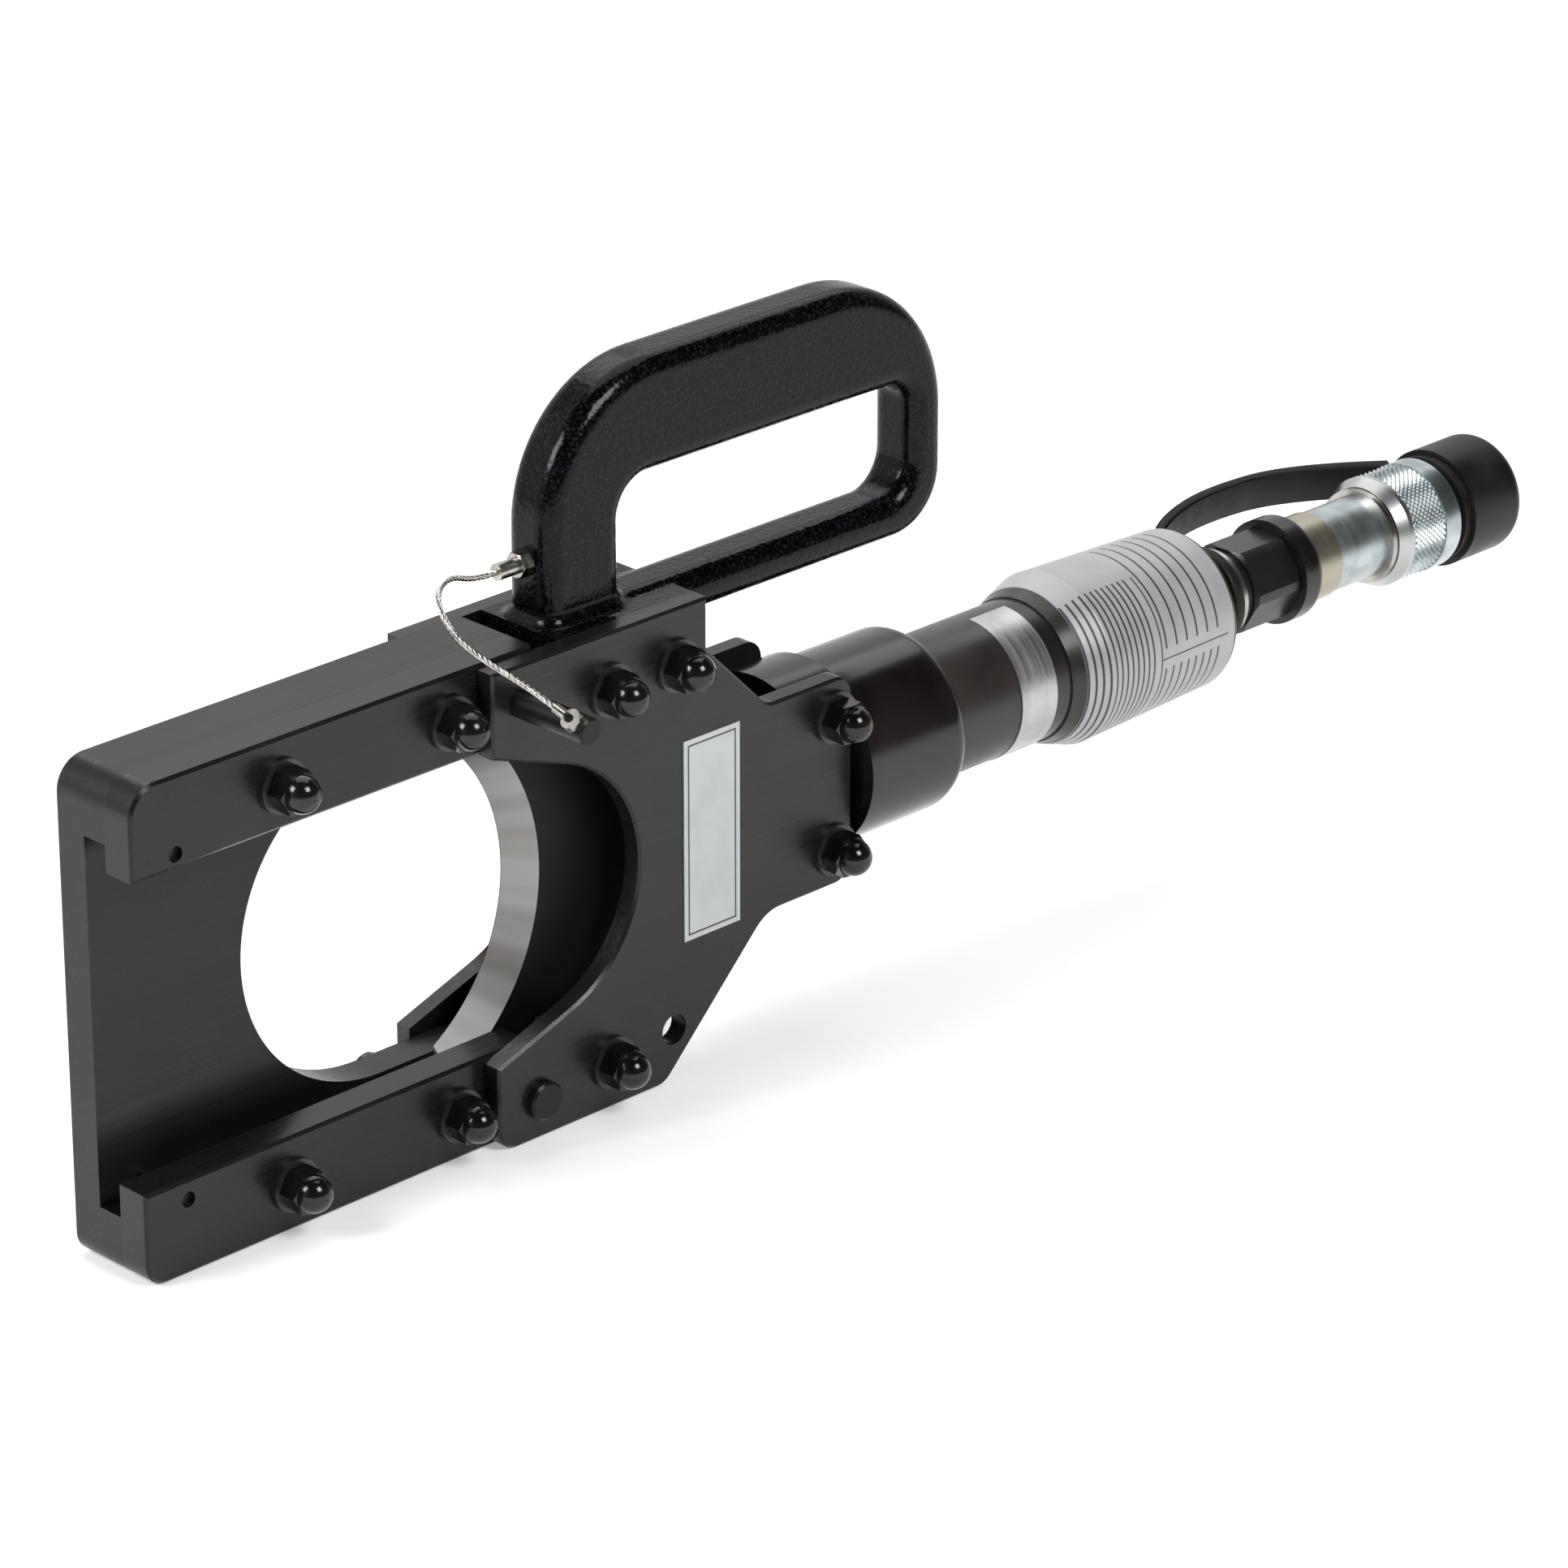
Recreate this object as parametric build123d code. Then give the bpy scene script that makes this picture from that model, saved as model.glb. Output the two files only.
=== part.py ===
from build123d import *
import os
from math import cos, pi, radians, sin, sqrt, tan

# A hydraulic cable cutter head for a remote pump, in millimetres.
# X runs along the ram towards the hose coupler, Y across the blade, away from the nuts, and Z up.
# The origin is on the standing face, under the centre of the round cutting notch.

# Opening frame
NOTCH_R = 42.5
FRAME_NOSE = 45.0
FRAME_WEB = 20.9
ARM_REACH = 36.5
FIXED_PLATE_T = 10.0
RAIL_T = 9.2
UPPER_RAIL_H = 23.0
LOWER_RAIL_H = 24.6
GROOVE_FLOOR = 16.0
FRAME_TOP_ROUND = 8.0
FRAME_FOOT_ROUND = 6.0
FRAME_CHAMFER = 0.8
FRAME_BOLT_INSET = 12.0
FRAME_BOLT_FRONT = 45.0
FRAME_BOLT_REAR = 26.5
STOP_PIN_R = 2.0
STOP_PIN_INSET = 13.0
STOP_PIN_CLEAR = 1.4
STOP_PIN_RECESS = 1.5

# Moving blade
BLADE_T = 7.4
BLADE_FACE_PLAY = 0.1
BLADE_EDGE_PLAY = 0.4
EDGE_MARGIN = 5.5
EDGE_BEVEL = 5.8
EDGE_REST_INSET = 2.4
EDGE_OVERLAP = 3.0
HORN_LENGTH = 23.1
BLADE_WAIST_DROP = 7.0
BLADE_TAIL_H = 40.0
TANG_H = 16.0
SWING_PLAY = 0.3

# Hinge and latch
HINGE_PIN_R = 5.0
HINGE_SETBACK = 4.2
HINGE_BUSH_WALL = 1.5
RUNNING_FIT = 0.05
HINGE_PIN_PROUD = 2.5
PIN_RECESS = 0.6
PIN_CHAMFER = 0.6
LATCH_R = 3.5
LATCH_LENGTH = 29.6
LATCH_SETBACK = 9.0
LATCH_DROP = 10.7
LATCH_HOLE_PLAY = 0.3
LATCH_EYE_INSET = 3.9
EYE_R = 2.6
EYE_T = 1.2
EYE_STUD_R = 1.0
EYE_TILT = 45.0
EYE_FERRULE = 2.4

# Body plates
SIDE_T = 5.2
SIDE_GAP = 0.2
SIDE_LEAD = 13.8
SIDE_TOP_DROP = 1.0
SHOULDER_STEP = 13.8
NECK_HALF = 28.0
NECK_REACH = 50.0
TOE_SETBACK = 15.0
SIDE_HEEL_R = 6.0
SIDE_CORNER_R = 5.5
SIDE_HOLLOW_R = 12.0
CUTOUT_R = 34.0
CUTOUT_LEAD = 13.3
CUTOUT_FLARE = 19.0
SIDE_CHAMFER = 0.7
HANG_HOLE_R = 4.0
HANG_HOLE_X = 3.0
HANG_HOLE_Z = 14.0

# Fasteners
BOLT_R = 3.0
BOLT_PLAY = 0.2
NUT_ACROSS = 10.0
NUT_HEX_H = 5.5
NUT_HEIGHT = 10.5
NUT_DOME_R = 4.75
NUT_THREAD = 8.0
HEAD_R = 5.0
HEAD_H = 6.0
HEAD_CHAMFER = 0.5
SOCKET_ACROSS = 5.0
SOCKET_DEPTH = 3.0
WASHER_R = 6.8
WASHER_T = 1.4
TONGUE_BOLT_LEAD = 12.0
TONGUE_BOLT_PITCH = 22.0
TONGUE_BOLT_DROP = 14.7
NECK_BOLT_INSET = 6.5
NECK_BOLT_RISE = 18.0
FOOT_BOLT_X = 23.5
FOOT_BOLT_Z = 12.5
FOOT_SPACER_R = 8.0

# Handle
ARM_GAP = 8.0
TONGUE_LENGTH = 44.5
TONGUE_DEPTH = 21.3
HANDLE_T = 16.0
HANDLE_EDGE_R = 5.0
POST_LEAD = 2.0
POST_W = 25.0
HANDLE_RISE = 60.6
HANDLE_LENGTH = 136.0
GRIP_H = 29.8
REAR_POST_W = 11.5
BAR_H = 11.0
BAR_DROP = 9.6
HANDLE_FRONT_R = 37.5
HANDLE_REAR_R = 38.0
HANDLE_HEEL_R = 16.5
HAND_FRONT_R = 9.5
HAND_REAR_R = 7.0
FOOT_FILLET = 4.0

# Ram and cylinder
NECK_BLOCK_LENGTH = 18.0
NECK_BLOCK_R = 26.5
COLLAR_GAP = 1.5
COLLAR_R = 24.4
COLLAR_LENGTH = 36.0
COLLAR_ROUND = 5.0
GLAND_LENGTH = 10.0
WIPER_LENGTH = 3.0
BUSH_WALL = 3.0
ROD_R = 9.0
ROD_PLAY = 0.3
ROD_NOSE = 20.0
BLADE_PIN_R = 3.0
BLADE_PIN_INSET = 9.0
BORE_R = 14.5
BARREL_WALL = 4.6
BARREL_LENGTH = 125.6
PISTON_LENGTH = 13.0
PISTON_PLAY = 0.1
PISTON_END_GAP = 0.4
ROD_SPIGOT_R = 5.0
SEAL_DEPTH = 2.8
SEAL_WIDTH = 5.0
STATIC_SEAL = 2.0
SPRING_WIRE = 3.0
SPRING_R = 11.3
SPRING_TURNS = 8
SEAT_GAP = 0.3
CAN_START = 78.0
CAN_LIP = 0.5
CAN_R = 23.3
CAN_TAPER = 1.7
CAN_RAMP = 11.5
CAN_WALL = 4.0
CAN_ROUND = 1.5
FOIL_T = 0.3
FOIL_START = 4.0
FOIL_END = 0.4
BAND_START = 23.5
BAND_WIDTH = 13.0
LABEL_LENGTH = 19.0
LABEL_HEIGHT = 53.5
LABEL_SETBACK = 8.5

# Adapter, coupler and dust cap
PASSAGE_R = 4.0
SPIGOT_R = 7.0
ADAPTER_NECK_R = 10.8
ADAPTER_NECK_LENGTH = 17.8
HEX_ACROSS = 23.0
HEX_CORNER_R = 12.6
HEX_LENGTH = 17.5
RIM_R = 14.5
RIM_LENGTH = 8.0
RIM_ROUND = 3.0
SNAP_RING_T = 1.4
SNAP_RING_W = 2.2
SNAP_RING_SEAT = 12.3
COUPLER_COLLAR_R = 12.0
COUPLER_COLLAR_LENGTH = 9.5
COUPLER_R = 11.5
COUPLER_FLANGE_R = 12.6
COUPLER_FLANGE_W = 3.0
COUPLER_NOSE_R = 10.0
COUPLER_NOSE_LENGTH = 14.5
SLEEVE_R = 15.4
SLEEVE_SETBACK = 21.6
SLEEVE_LIP = 6.2
SLEEVE_LENGTH = 25.5
SLEEVE_WALL = 2.4
SLEEVE_PLAY = 0.3
SLEEVE_CHAMFER = 2.0
KEEPER_W = 1.9
KEEPER_T = 1.6
POPPET_CHAMBER_R = 7.0
POPPET_R = 4.3
POPPET_PLAY = 0.2
POPPET_SEAT = 4.0
POPPET_FLANGE = 4.7
POPPET_TAIL = 8.0
POPPET_SPRING_WIRE = 1.2
POPPET_SPRING_R = 5.2
POPPET_SPRING_TURNS = 5
POPPET_CHAMBER_LENGTH = 18.0
CAP_R = 16.5
CAP_HEAD = 21.0
CAP_ROUND = 4.0
CAP_PLUG_DEPTH = 15.0
CAP_PLUG_WALL = 2.2
CAP_GROOVE = 2.6
CAP_GAP = 0.4
STRAP_RING_T = 2.4

# Dust cap strap and latch lanyard
STRAP_W = 11.0
STRAP_T = 2.8
STRAP_TILT = 74.0
STRAP_RING_W = 3.6
STRAP_RISE = 31.4
STRAP_BEND = 11.0
STRAP_LEAN = 3.8
STRAP_KNEE = 20.5
WIRE_R = 0.75
ANCHOR_RISE = 15.7
ANCHOR_HEX = 6.0
ANCHOR_HEX_LENGTH = 3.5
FERRULE_R = 2.1
FERRULE_LENGTH = 6.0

# Places that follow from the sizes above
AXIS_Z = FRAME_WEB + NOTCH_R
FRAME_H = 2 * AXIS_Z
FRAME_LEFT = -NOTCH_R - FRAME_NOSE
STOP_PIN_RISE = AXIS_Z - GROOVE_FLOOR - STOP_PIN_CLEAR - STOP_PIN_R
SLOT = BLADE_T + 2 * BLADE_FACE_PLAY
Y_SLOT = SLOT / 2
Y_REAR = Y_SLOT + FIXED_PLATE_T
Y_FRONT = -Y_SLOT - RAIL_T
FRAME_BOLTS_X = (FRAME_LEFT + FRAME_BOLT_FRONT, ARM_REACH - FRAME_BOLT_REAR)
FRAME_BOLTS_Z = (FRAME_BOLT_INSET, FRAME_H - FRAME_BOLT_INSET)

HINGE_X = ARM_REACH - HINGE_SETBACK
HINGE_Z = FRAME_WEB / 2
BUSH_R = HINGE_PIN_R + HINGE_BUSH_WALL
LATCH_X = ARM_REACH - LATCH_SETBACK
LATCH_Z = FRAME_H - LATCH_DROP

Y_IN_REAR = Y_REAR + SIDE_GAP
Y_IN_FRONT = Y_FRONT - SIDE_GAP
Y_OUT_REAR = Y_IN_REAR + SIDE_T
Y_OUT_FRONT = Y_IN_FRONT - SIDE_T
SIDE_LEFT = HINGE_X - SIDE_LEAD
SIDE_TOP = FRAME_H - SIDE_TOP_DROP
TONGUE_LEFT = ARM_REACH + ARM_GAP
SHOULDER_X = TONGUE_LEFT + TONGUE_LENGTH
SIDE_RIGHT = SHOULDER_X + NECK_REACH
TOE_X = SHOULDER_X - TOE_SETBACK
HANG_X = TOE_X + HANG_HOLE_X

EDGE_R = NOTCH_R + EDGE_MARGIN
EDGE_X = NOTCH_R - EDGE_REST_INSET
STROKE = EDGE_X + NOTCH_R + EDGE_OVERLAP
BLADE_HALF = AXIS_Z - GROOVE_FLOOR - BLADE_EDGE_PLAY
HORN_X = EDGE_X - HORN_LENGTH

COLLAR_X = SIDE_RIGHT + COLLAR_GAP
NECK_X = COLLAR_X - NECK_BLOCK_LENGTH
BARREL_X = COLLAR_X + GLAND_LENGTH
BARREL_R = BORE_R + BARREL_WALL
BARREL_END = BARREL_X + BARREL_LENGTH
PISTON_BACK = BARREL_END - PISTON_END_GAP
PISTON_X = PISTON_BACK - PISTON_LENGTH
ROD_X = COLLAR_X - ROD_NOSE
CAN_X = COLLAR_X + CAN_START
CAN_END = BARREL_END + CAN_WALL

HEX_X = CAN_END + ADAPTER_NECK_LENGTH
RIM_X = HEX_X + HEX_LENGTH
COUPLER_X = RIM_X + RIM_LENGTH
COUPLER_BODY_X = COUPLER_X + COUPLER_COLLAR_LENGTH
SLEEVE_X = COUPLER_BODY_X + SLEEVE_SETBACK
SLEEVE_END = SLEEVE_X + SLEEVE_LENGTH
FLANGE_X = SLEEVE_X + SLEEVE_LIP + SLEEVE_PLAY
NOSE_X = FLANGE_X + COUPLER_FLANGE_W
NOSE_END = NOSE_X + COUPLER_NOSE_LENGTH
CAP_X = SLEEVE_END + CAP_GAP
CAP_HEAD_X = CAP_X + CAP_GROOVE
SLEEVE_BORE_R = SLEEVE_R - SLEEVE_WALL
PLUG_R = SLEEVE_BORE_R - SLEEVE_PLAY
STRAP_END_R = PLUG_R + STRAP_RING_T

# Lanyard route from the handle's post to the latch pin, chosen by hand
LANYARD_BENDS = [
    (30.0, 0.0, 141.5),
    (20.5, -1.6, 145.6),
    (11.2, -7.0, 144.8),
    (8.6, -15.0, 138.6),
    (13.2, -22.5, 131.8),
    (19.6, -29.5, 126.0),
]


def slab(sketch, y0, y1):
    """A sketch drawn in X and Z, as thick as from y0 to y1."""
    plane = Plane(origin=(0, y1, 0), x_dir=(1, 0, 0), z_dir=(0, -1, 0))
    return extrude(plane * sketch, amount=y1 - y0, dir=(0, -1, 0))


def outline(*points):
    """A straight-sided outline through points in X and Z."""
    return Polygon(*points, align=None)


def rounded(sketch, *corners):
    """The sketch with the corner at each (x, z) rounded to its radius."""
    for x, z, radius in corners:
        corner = sketch.vertices().sort_by_distance((x, z, 0))[0]
        sketch = fillet(corner, radius)
    return sketch


def cross_pin(x, z, radius, y0, y1):
    """A round bar or hole across the tool."""
    return slab(Pos(x, z) * Circle(radius), y0, y1)


def turned(*points, rounds=()):
    """A piece turned about the ram's axis, from points of X and radius."""
    profile = outline(*[(x, AXIS_Z + r) for x, r in points])
    profile = rounded(profile, *[(x, AXIS_Z + r, size) for x, r, size in rounds])
    return revolve(slab_plane() * profile, axis=Axis((0, 0, AXIS_Z), (1, 0, 0)))


def slab_plane():
    """The tool's middle plane, with X to the right and Z up."""
    return Plane(origin=(0, 0, 0), x_dir=(1, 0, 0), z_dir=(0, -1, 0))


def ring(x0, x1, r_out, r_in):
    """A plain ring about the ram's axis."""
    return turned((x0, r_in), (x1, r_in), (x1, r_out), (x0, r_out))


def facing(x, y, z):
    """A place on a front face, with its own Z pointing out towards the nuts."""
    return Plane(origin=(x, y, z), x_dir=(1, 0, 0), z_dir=(0, -1, 0))


def chamfered_hex(across, height):
    """A hexagon standing on the origin, with its corners turned off at both ends."""
    corner = across / sqrt(3)
    rise = (corner - across / 2) * tan(radians(30))
    turned_off = Polygon(
        (0, 0), (across / 2, 0), (corner, rise), (corner, height - rise), (across / 2, height), (0, height),
        align=None,
    )
    prism = extrude(RegularPolygon(across / 2, 6, major_radius=False), amount=height)
    return prism & revolve(Plane.XZ * turned_off, axis=Axis.Z)


def cap_nut():
    """A dome nut that stands on the origin."""
    dome_z = NUT_HEIGHT - NUT_DOME_R
    from_base = (Align.CENTER, Align.CENTER, Align.MIN)
    nut = chamfered_hex(NUT_ACROSS, NUT_HEX_H)
    nut += Cylinder(NUT_DOME_R, dome_z, align=from_base)
    nut += Pos(0, 0, dome_z) * Sphere(NUT_DOME_R)
    nut -= Pos(0, 0, -NUT_HEIGHT) * Cylinder(2 * NUT_DOME_R, NUT_HEIGHT, align=from_base)
    return nut - Cylinder(BOLT_R, NUT_THREAD, align=from_base)


def washer():
    """A flat washer that stands on the origin."""
    from_base = (Align.CENTER, Align.CENTER, Align.MIN)
    blank = Cylinder(WASHER_R, WASHER_T, align=from_base)
    return blank - Cylinder(BOLT_R + BOLT_PLAY, WASHER_T, align=from_base)


def socket_head():
    """A round bolt head with a hexagon socket, standing on the origin."""
    head = Cylinder(HEAD_R, HEAD_H, align=(Align.CENTER, Align.CENTER, Align.MIN))
    head = chamfer(head.edges().group_by(Axis.Z)[-1], HEAD_CHAMFER)
    socket = RegularPolygon(SOCKET_ACROSS / 2, 6, major_radius=False)
    return head - extrude(Pos(0, 0, HEAD_H - SOCKET_DEPTH) * socket, amount=SOCKET_DEPTH)


def through_bolt(x, z, y_front, y_rear):
    """A bolt with its head on a washer behind and its thread in a dome nut in front."""
    seat = y_rear + WASHER_T
    head = Plane(origin=(x, seat, z), x_dir=(1, 0, 0), z_dir=(0, 1, 0)) * socket_head()
    return head + cross_pin(x, z, BOLT_R, y_front - WASHER_T - NUT_THREAD, seat)


def bolt_holes(places, y0, y1):
    """Clearance holes for bolts at each (x, z)."""
    return [cross_pin(x, z, BOLT_R + BOLT_PLAY, y0, y1) for x, z in places]


def group(solids):
    """Separate solids that share one node."""
    return Compound(children=list(solids))


def tube(points, radius):
    """A round wire along straight runs joined by the largest arcs that fit."""
    nodes = [Vector(*p) for p in points]
    radii = []
    for before, here, after in zip(nodes, nodes[1:], nodes[2:]):
        turn = radians((here - before).get_angle(after - here))
        shorter = min((here - before).length, (after - here).length)
        radii.append(0.45 * shorter / tan(turn / 2))
    print("lanyard radii", [round(r, 1) for r in radii])
    path = FilletPolyline(*nodes, radius=radii)
    section = Plane(origin=path @ 0, z_dir=path % 0) * Circle(radius)
    solid = sweep(section, path=path)
    share = solid.volume / (pi * radius**2 * path.length)
    print("lanyard length", round(path.length, 1), "volume share", share)
    return solid


def coil(x0, x1, mean_r, wire, turns):
    """A round-wire compression spring about the ram's axis, on pairs of arcs for each quarter turn."""
    quarters = 4 * turns
    pitch = (x1 - x0 - wire) / turns

    def point(k):
        angle = k * pi / 2
        return Vector(x0 + wire / 2 + pitch * k / 4, mean_r * cos(angle), AXIS_Z + mean_r * sin(angle))

    def direction(k):
        angle = k * pi / 2
        return Vector(pitch / (2 * pi), -mean_r * sin(angle), mean_r * cos(angle)).normalized()

    edges = []
    for k in range(quarters):
        start, end = point(k), point(k + 1)
        leave, arrive = direction(k), direction(k + 1)
        chord = end - start
        along = chord.dot(leave + arrive)
        bend = 2 * (1 - leave.dot(arrive))
        reach = (sqrt(along**2 + bend * chord.dot(chord)) - along) / bend
        middle = (start + end + (leave - arrive) * reach) * 0.5
        edges.append(TangentArc(start, middle, tangent=leave))
        edges.append(TangentArc(end, middle, tangent=arrive * -1))
    print("spring gap between turns", round(pitch - wire, 2))
    section = Plane(origin=point(0), z_dir=direction(0)) * Circle(wire / 2)
    return sweep(section, path=Wire(edges))


# Opening frame


def frame_places():
    """The frame's four bolt places."""
    return [(x, z) for x in FRAME_BOLTS_X for z in FRAME_BOLTS_Z]


def frame_rounds():
    """The frame's rounded free corners."""
    return [(FRAME_LEFT, FRAME_H, FRAME_TOP_ROUND), (FRAME_LEFT, 0, FRAME_FOOT_ROUND)]


def stop_pin_holes(y0, y1):
    """The two stop pins, or their holes."""
    x = FRAME_LEFT + STOP_PIN_INSET
    return [cross_pin(x, AXIS_Z + side * STOP_PIN_RISE, STOP_PIN_R, y0, y1) for side in (-1, 1)]


def fixed_blade_plate():
    """The rear C-plate, whose round notch is the fixed cutting edge."""
    sheet = outline((FRAME_LEFT, 0), (HINGE_X, 0), (HINGE_X, AXIS_Z), (ARM_REACH, AXIS_Z),
                    (ARM_REACH, FRAME_H), (FRAME_LEFT, FRAME_H))
    sheet = rounded(sheet, *frame_rounds())
    sheet += Pos(HINGE_X, HINGE_Z) * Circle(FRAME_WEB / 2)
    sheet -= Pos(0, AXIS_Z) * Circle(NOTCH_R)
    mouth = max(ARM_REACH, HINGE_X) + FRAME_WEB
    sheet -= outline((0, FRAME_WEB), (mouth, FRAME_WEB), (mouth, FRAME_H - FRAME_WEB),
                     (0, FRAME_H - FRAME_WEB))
    plate = slab(sheet, Y_SLOT, Y_REAR)
    plate = chamfer(plate.faces().sort_by(Axis.Y)[-1].edges(), FRAME_CHAMFER)
    plate -= bolt_holes(frame_places(), Y_SLOT, Y_REAR)
    plate -= stop_pin_holes(Y_SLOT, Y_REAR)
    plate -= cross_pin(LATCH_X, LATCH_Z, LATCH_R + LATCH_HOLE_PLAY, Y_SLOT, Y_REAR)
    return plate - cross_pin(HINGE_X, HINGE_Z, BUSH_R, Y_SLOT, Y_REAR)


def upper_rail():
    """The front rail of the upper arm."""
    base = FRAME_H - UPPER_RAIL_H
    sheet = outline((FRAME_LEFT, base), (ARM_REACH, base), (ARM_REACH, FRAME_H), (FRAME_LEFT, FRAME_H))
    rail = slab(rounded(sheet, frame_rounds()[0]), Y_FRONT, -Y_SLOT)
    rail = chamfer(rail.faces().sort_by(Axis.Y)[0].edges(), FRAME_CHAMFER)
    rail -= bolt_holes([(x, FRAME_BOLTS_Z[1]) for x in FRAME_BOLTS_X], Y_FRONT, -Y_SLOT)
    rail -= stop_pin_holes(Y_FRONT, -Y_SLOT)
    return rail - cross_pin(LATCH_X, LATCH_Z, LATCH_R + LATCH_HOLE_PLAY, Y_FRONT, -Y_SLOT)


def lower_rail():
    """The front rail of the lower arm, with the front hinge knuckle on its end."""
    sheet = outline((FRAME_LEFT, 0), (HINGE_X, 0), (HINGE_X, LOWER_RAIL_H), (FRAME_LEFT, LOWER_RAIL_H))
    sheet = rounded(sheet, frame_rounds()[1]) + Pos(HINGE_X, HINGE_Z) * Circle(FRAME_WEB / 2)
    rail = slab(sheet, Y_FRONT, -Y_SLOT)
    rail = chamfer(rail.faces().sort_by(Axis.Y)[0].edges(), FRAME_CHAMFER)
    rail -= bolt_holes([(x, FRAME_BOLTS_Z[0]) for x in FRAME_BOLTS_X], Y_FRONT, -Y_SLOT)
    rail -= stop_pin_holes(Y_FRONT, -Y_SLOT)
    return rail - cross_pin(HINGE_X, HINGE_Z, BUSH_R, Y_FRONT, -Y_SLOT)


def upper_spacer():
    """The groove floor above the blade."""
    base = FRAME_H - GROOVE_FLOOR
    sheet = outline((FRAME_LEFT, base), (ARM_REACH, base), (ARM_REACH, FRAME_H), (FRAME_LEFT, FRAME_H))
    bar = slab(rounded(sheet, frame_rounds()[0]), -Y_SLOT, Y_SLOT)
    bar -= bolt_holes([(x, FRAME_BOLTS_Z[1]) for x in FRAME_BOLTS_X], -Y_SLOT, Y_SLOT)
    return bar - cross_pin(LATCH_X, LATCH_Z, LATCH_R + LATCH_HOLE_PLAY, -Y_SLOT, Y_SLOT)


def lower_spacer():
    """The groove floor below the blade, which stops short of the hinge pin."""
    end = HINGE_X - FRAME_WEB / 2
    sheet = outline((FRAME_LEFT, 0), (end, 0), (end, GROOVE_FLOOR), (FRAME_LEFT, GROOVE_FLOOR))
    bar = slab(rounded(sheet, frame_rounds()[1]), -Y_SLOT, Y_SLOT)
    return bar - bolt_holes([(x, FRAME_BOLTS_Z[0]) for x in FRAME_BOLTS_X], -Y_SLOT, Y_SLOT)


def hinge_bushes():
    """Two bushes in the frame's hinge knuckles."""
    bore = cross_pin(HINGE_X, HINGE_Z, HINGE_PIN_R + RUNNING_FIT, Y_FRONT, Y_REAR)
    spans = ((Y_FRONT, -Y_SLOT), (Y_SLOT, Y_REAR))
    return group(cross_pin(HINGE_X, HINGE_Z, BUSH_R, y0, y1) - bore for y0, y1 in spans)


# Moving blade and ram


def moving_blade():
    """The guillotine blade, with a concave edge ground from the front and a tang for the ram."""
    top = AXIS_Z + BLADE_HALF
    reach = FRAME_H - GROOVE_FLOOR - SWING_PLAY - HINGE_Z
    tip = HINGE_Z + sqrt(reach**2 - (HINGE_X - HORN_X)**2) - AXIS_Z
    waist = TONGUE_LEFT - BLADE_WAIST_DROP
    tail = NECK_X - TANG_H / 2
    half_tail = BLADE_TAIL_H / 2
    half_tang = TANG_H / 2
    belly = BLADE_HALF - BLADE_WAIST_DROP
    upper = [(HORN_X, min(tip, BLADE_HALF)), (HINGE_X, BLADE_HALF), (waist, BLADE_HALF),
             (waist + BLADE_WAIST_DROP, belly), (tail - half_tail, belly), (tail, half_tail),
             (tail, half_tang),
             (COLLAR_X, half_tang)]
    points = [(x, AXIS_Z + h) for x, h in upper] + [(x, AXIS_Z - h) for x, h in reversed(upper)]
    blade = slab(outline(*points), -BLADE_T / 2, BLADE_T / 2)
    centre = Plane(origin=(EDGE_X - EDGE_R, BLADE_T / 2, AXIS_Z), x_dir=(1, 0, 0), z_dir=(0, -1, 0))
    ground = Cone(EDGE_R, EDGE_R + EDGE_BEVEL, BLADE_T, align=(Align.CENTER, Align.CENTER, Align.MIN))
    blade -= centre * ground
    return blade - cross_pin(ROD_X + BLADE_PIN_INSET, AXIS_Z, BLADE_PIN_R, -top, top)


def piston_rod():
    """The ram's rod, forked in front for the blade's tang and stepped behind for the piston."""
    rod = turned((ROD_X, 0), (ROD_X, ROD_R), (PISTON_X, ROD_R), (PISTON_X, ROD_SPIGOT_R),
                 (PISTON_BACK, ROD_SPIGOT_R), (PISTON_BACK, 0))
    fork = outline((ROD_X, AXIS_Z - ROD_R), (COLLAR_X, AXIS_Z - ROD_R), (COLLAR_X, AXIS_Z + ROD_R),
                   (ROD_X, AXIS_Z + ROD_R))
    rod -= slab(fork, -BLADE_T / 2 - RUNNING_FIT, BLADE_T / 2 + RUNNING_FIT)
    return rod - cross_pin(ROD_X + BLADE_PIN_INSET, AXIS_Z, BLADE_PIN_R, -ROD_R, ROD_R)


def blade_pin():
    """The cross pin that holds the blade's tang in the rod's fork."""
    half = sqrt(ROD_R**2 - BLADE_PIN_R**2) - PIN_RECESS
    return cross_pin(ROD_X + BLADE_PIN_INSET, AXIS_Z, BLADE_PIN_R, -half, half)


def piston():
    """The piston, grooved for its seal."""
    middle = (PISTON_X + PISTON_BACK) / 2
    head_r = BORE_R - PISTON_PLAY
    head = ring(PISTON_X, PISTON_BACK, head_r, ROD_SPIGOT_R)
    return head - ring(middle - SEAL_WIDTH / 2, middle + SEAL_WIDTH / 2, head_r, head_r - SEAL_DEPTH)


def piston_seal():
    """The seal in the piston's groove."""
    middle = (PISTON_X + PISTON_BACK) / 2
    bottom = BORE_R - PISTON_PLAY - SEAL_DEPTH
    return ring(middle - SEAL_WIDTH / 2, middle + SEAL_WIDTH / 2, BORE_R - RUNNING_FIT, bottom)


# Body


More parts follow.
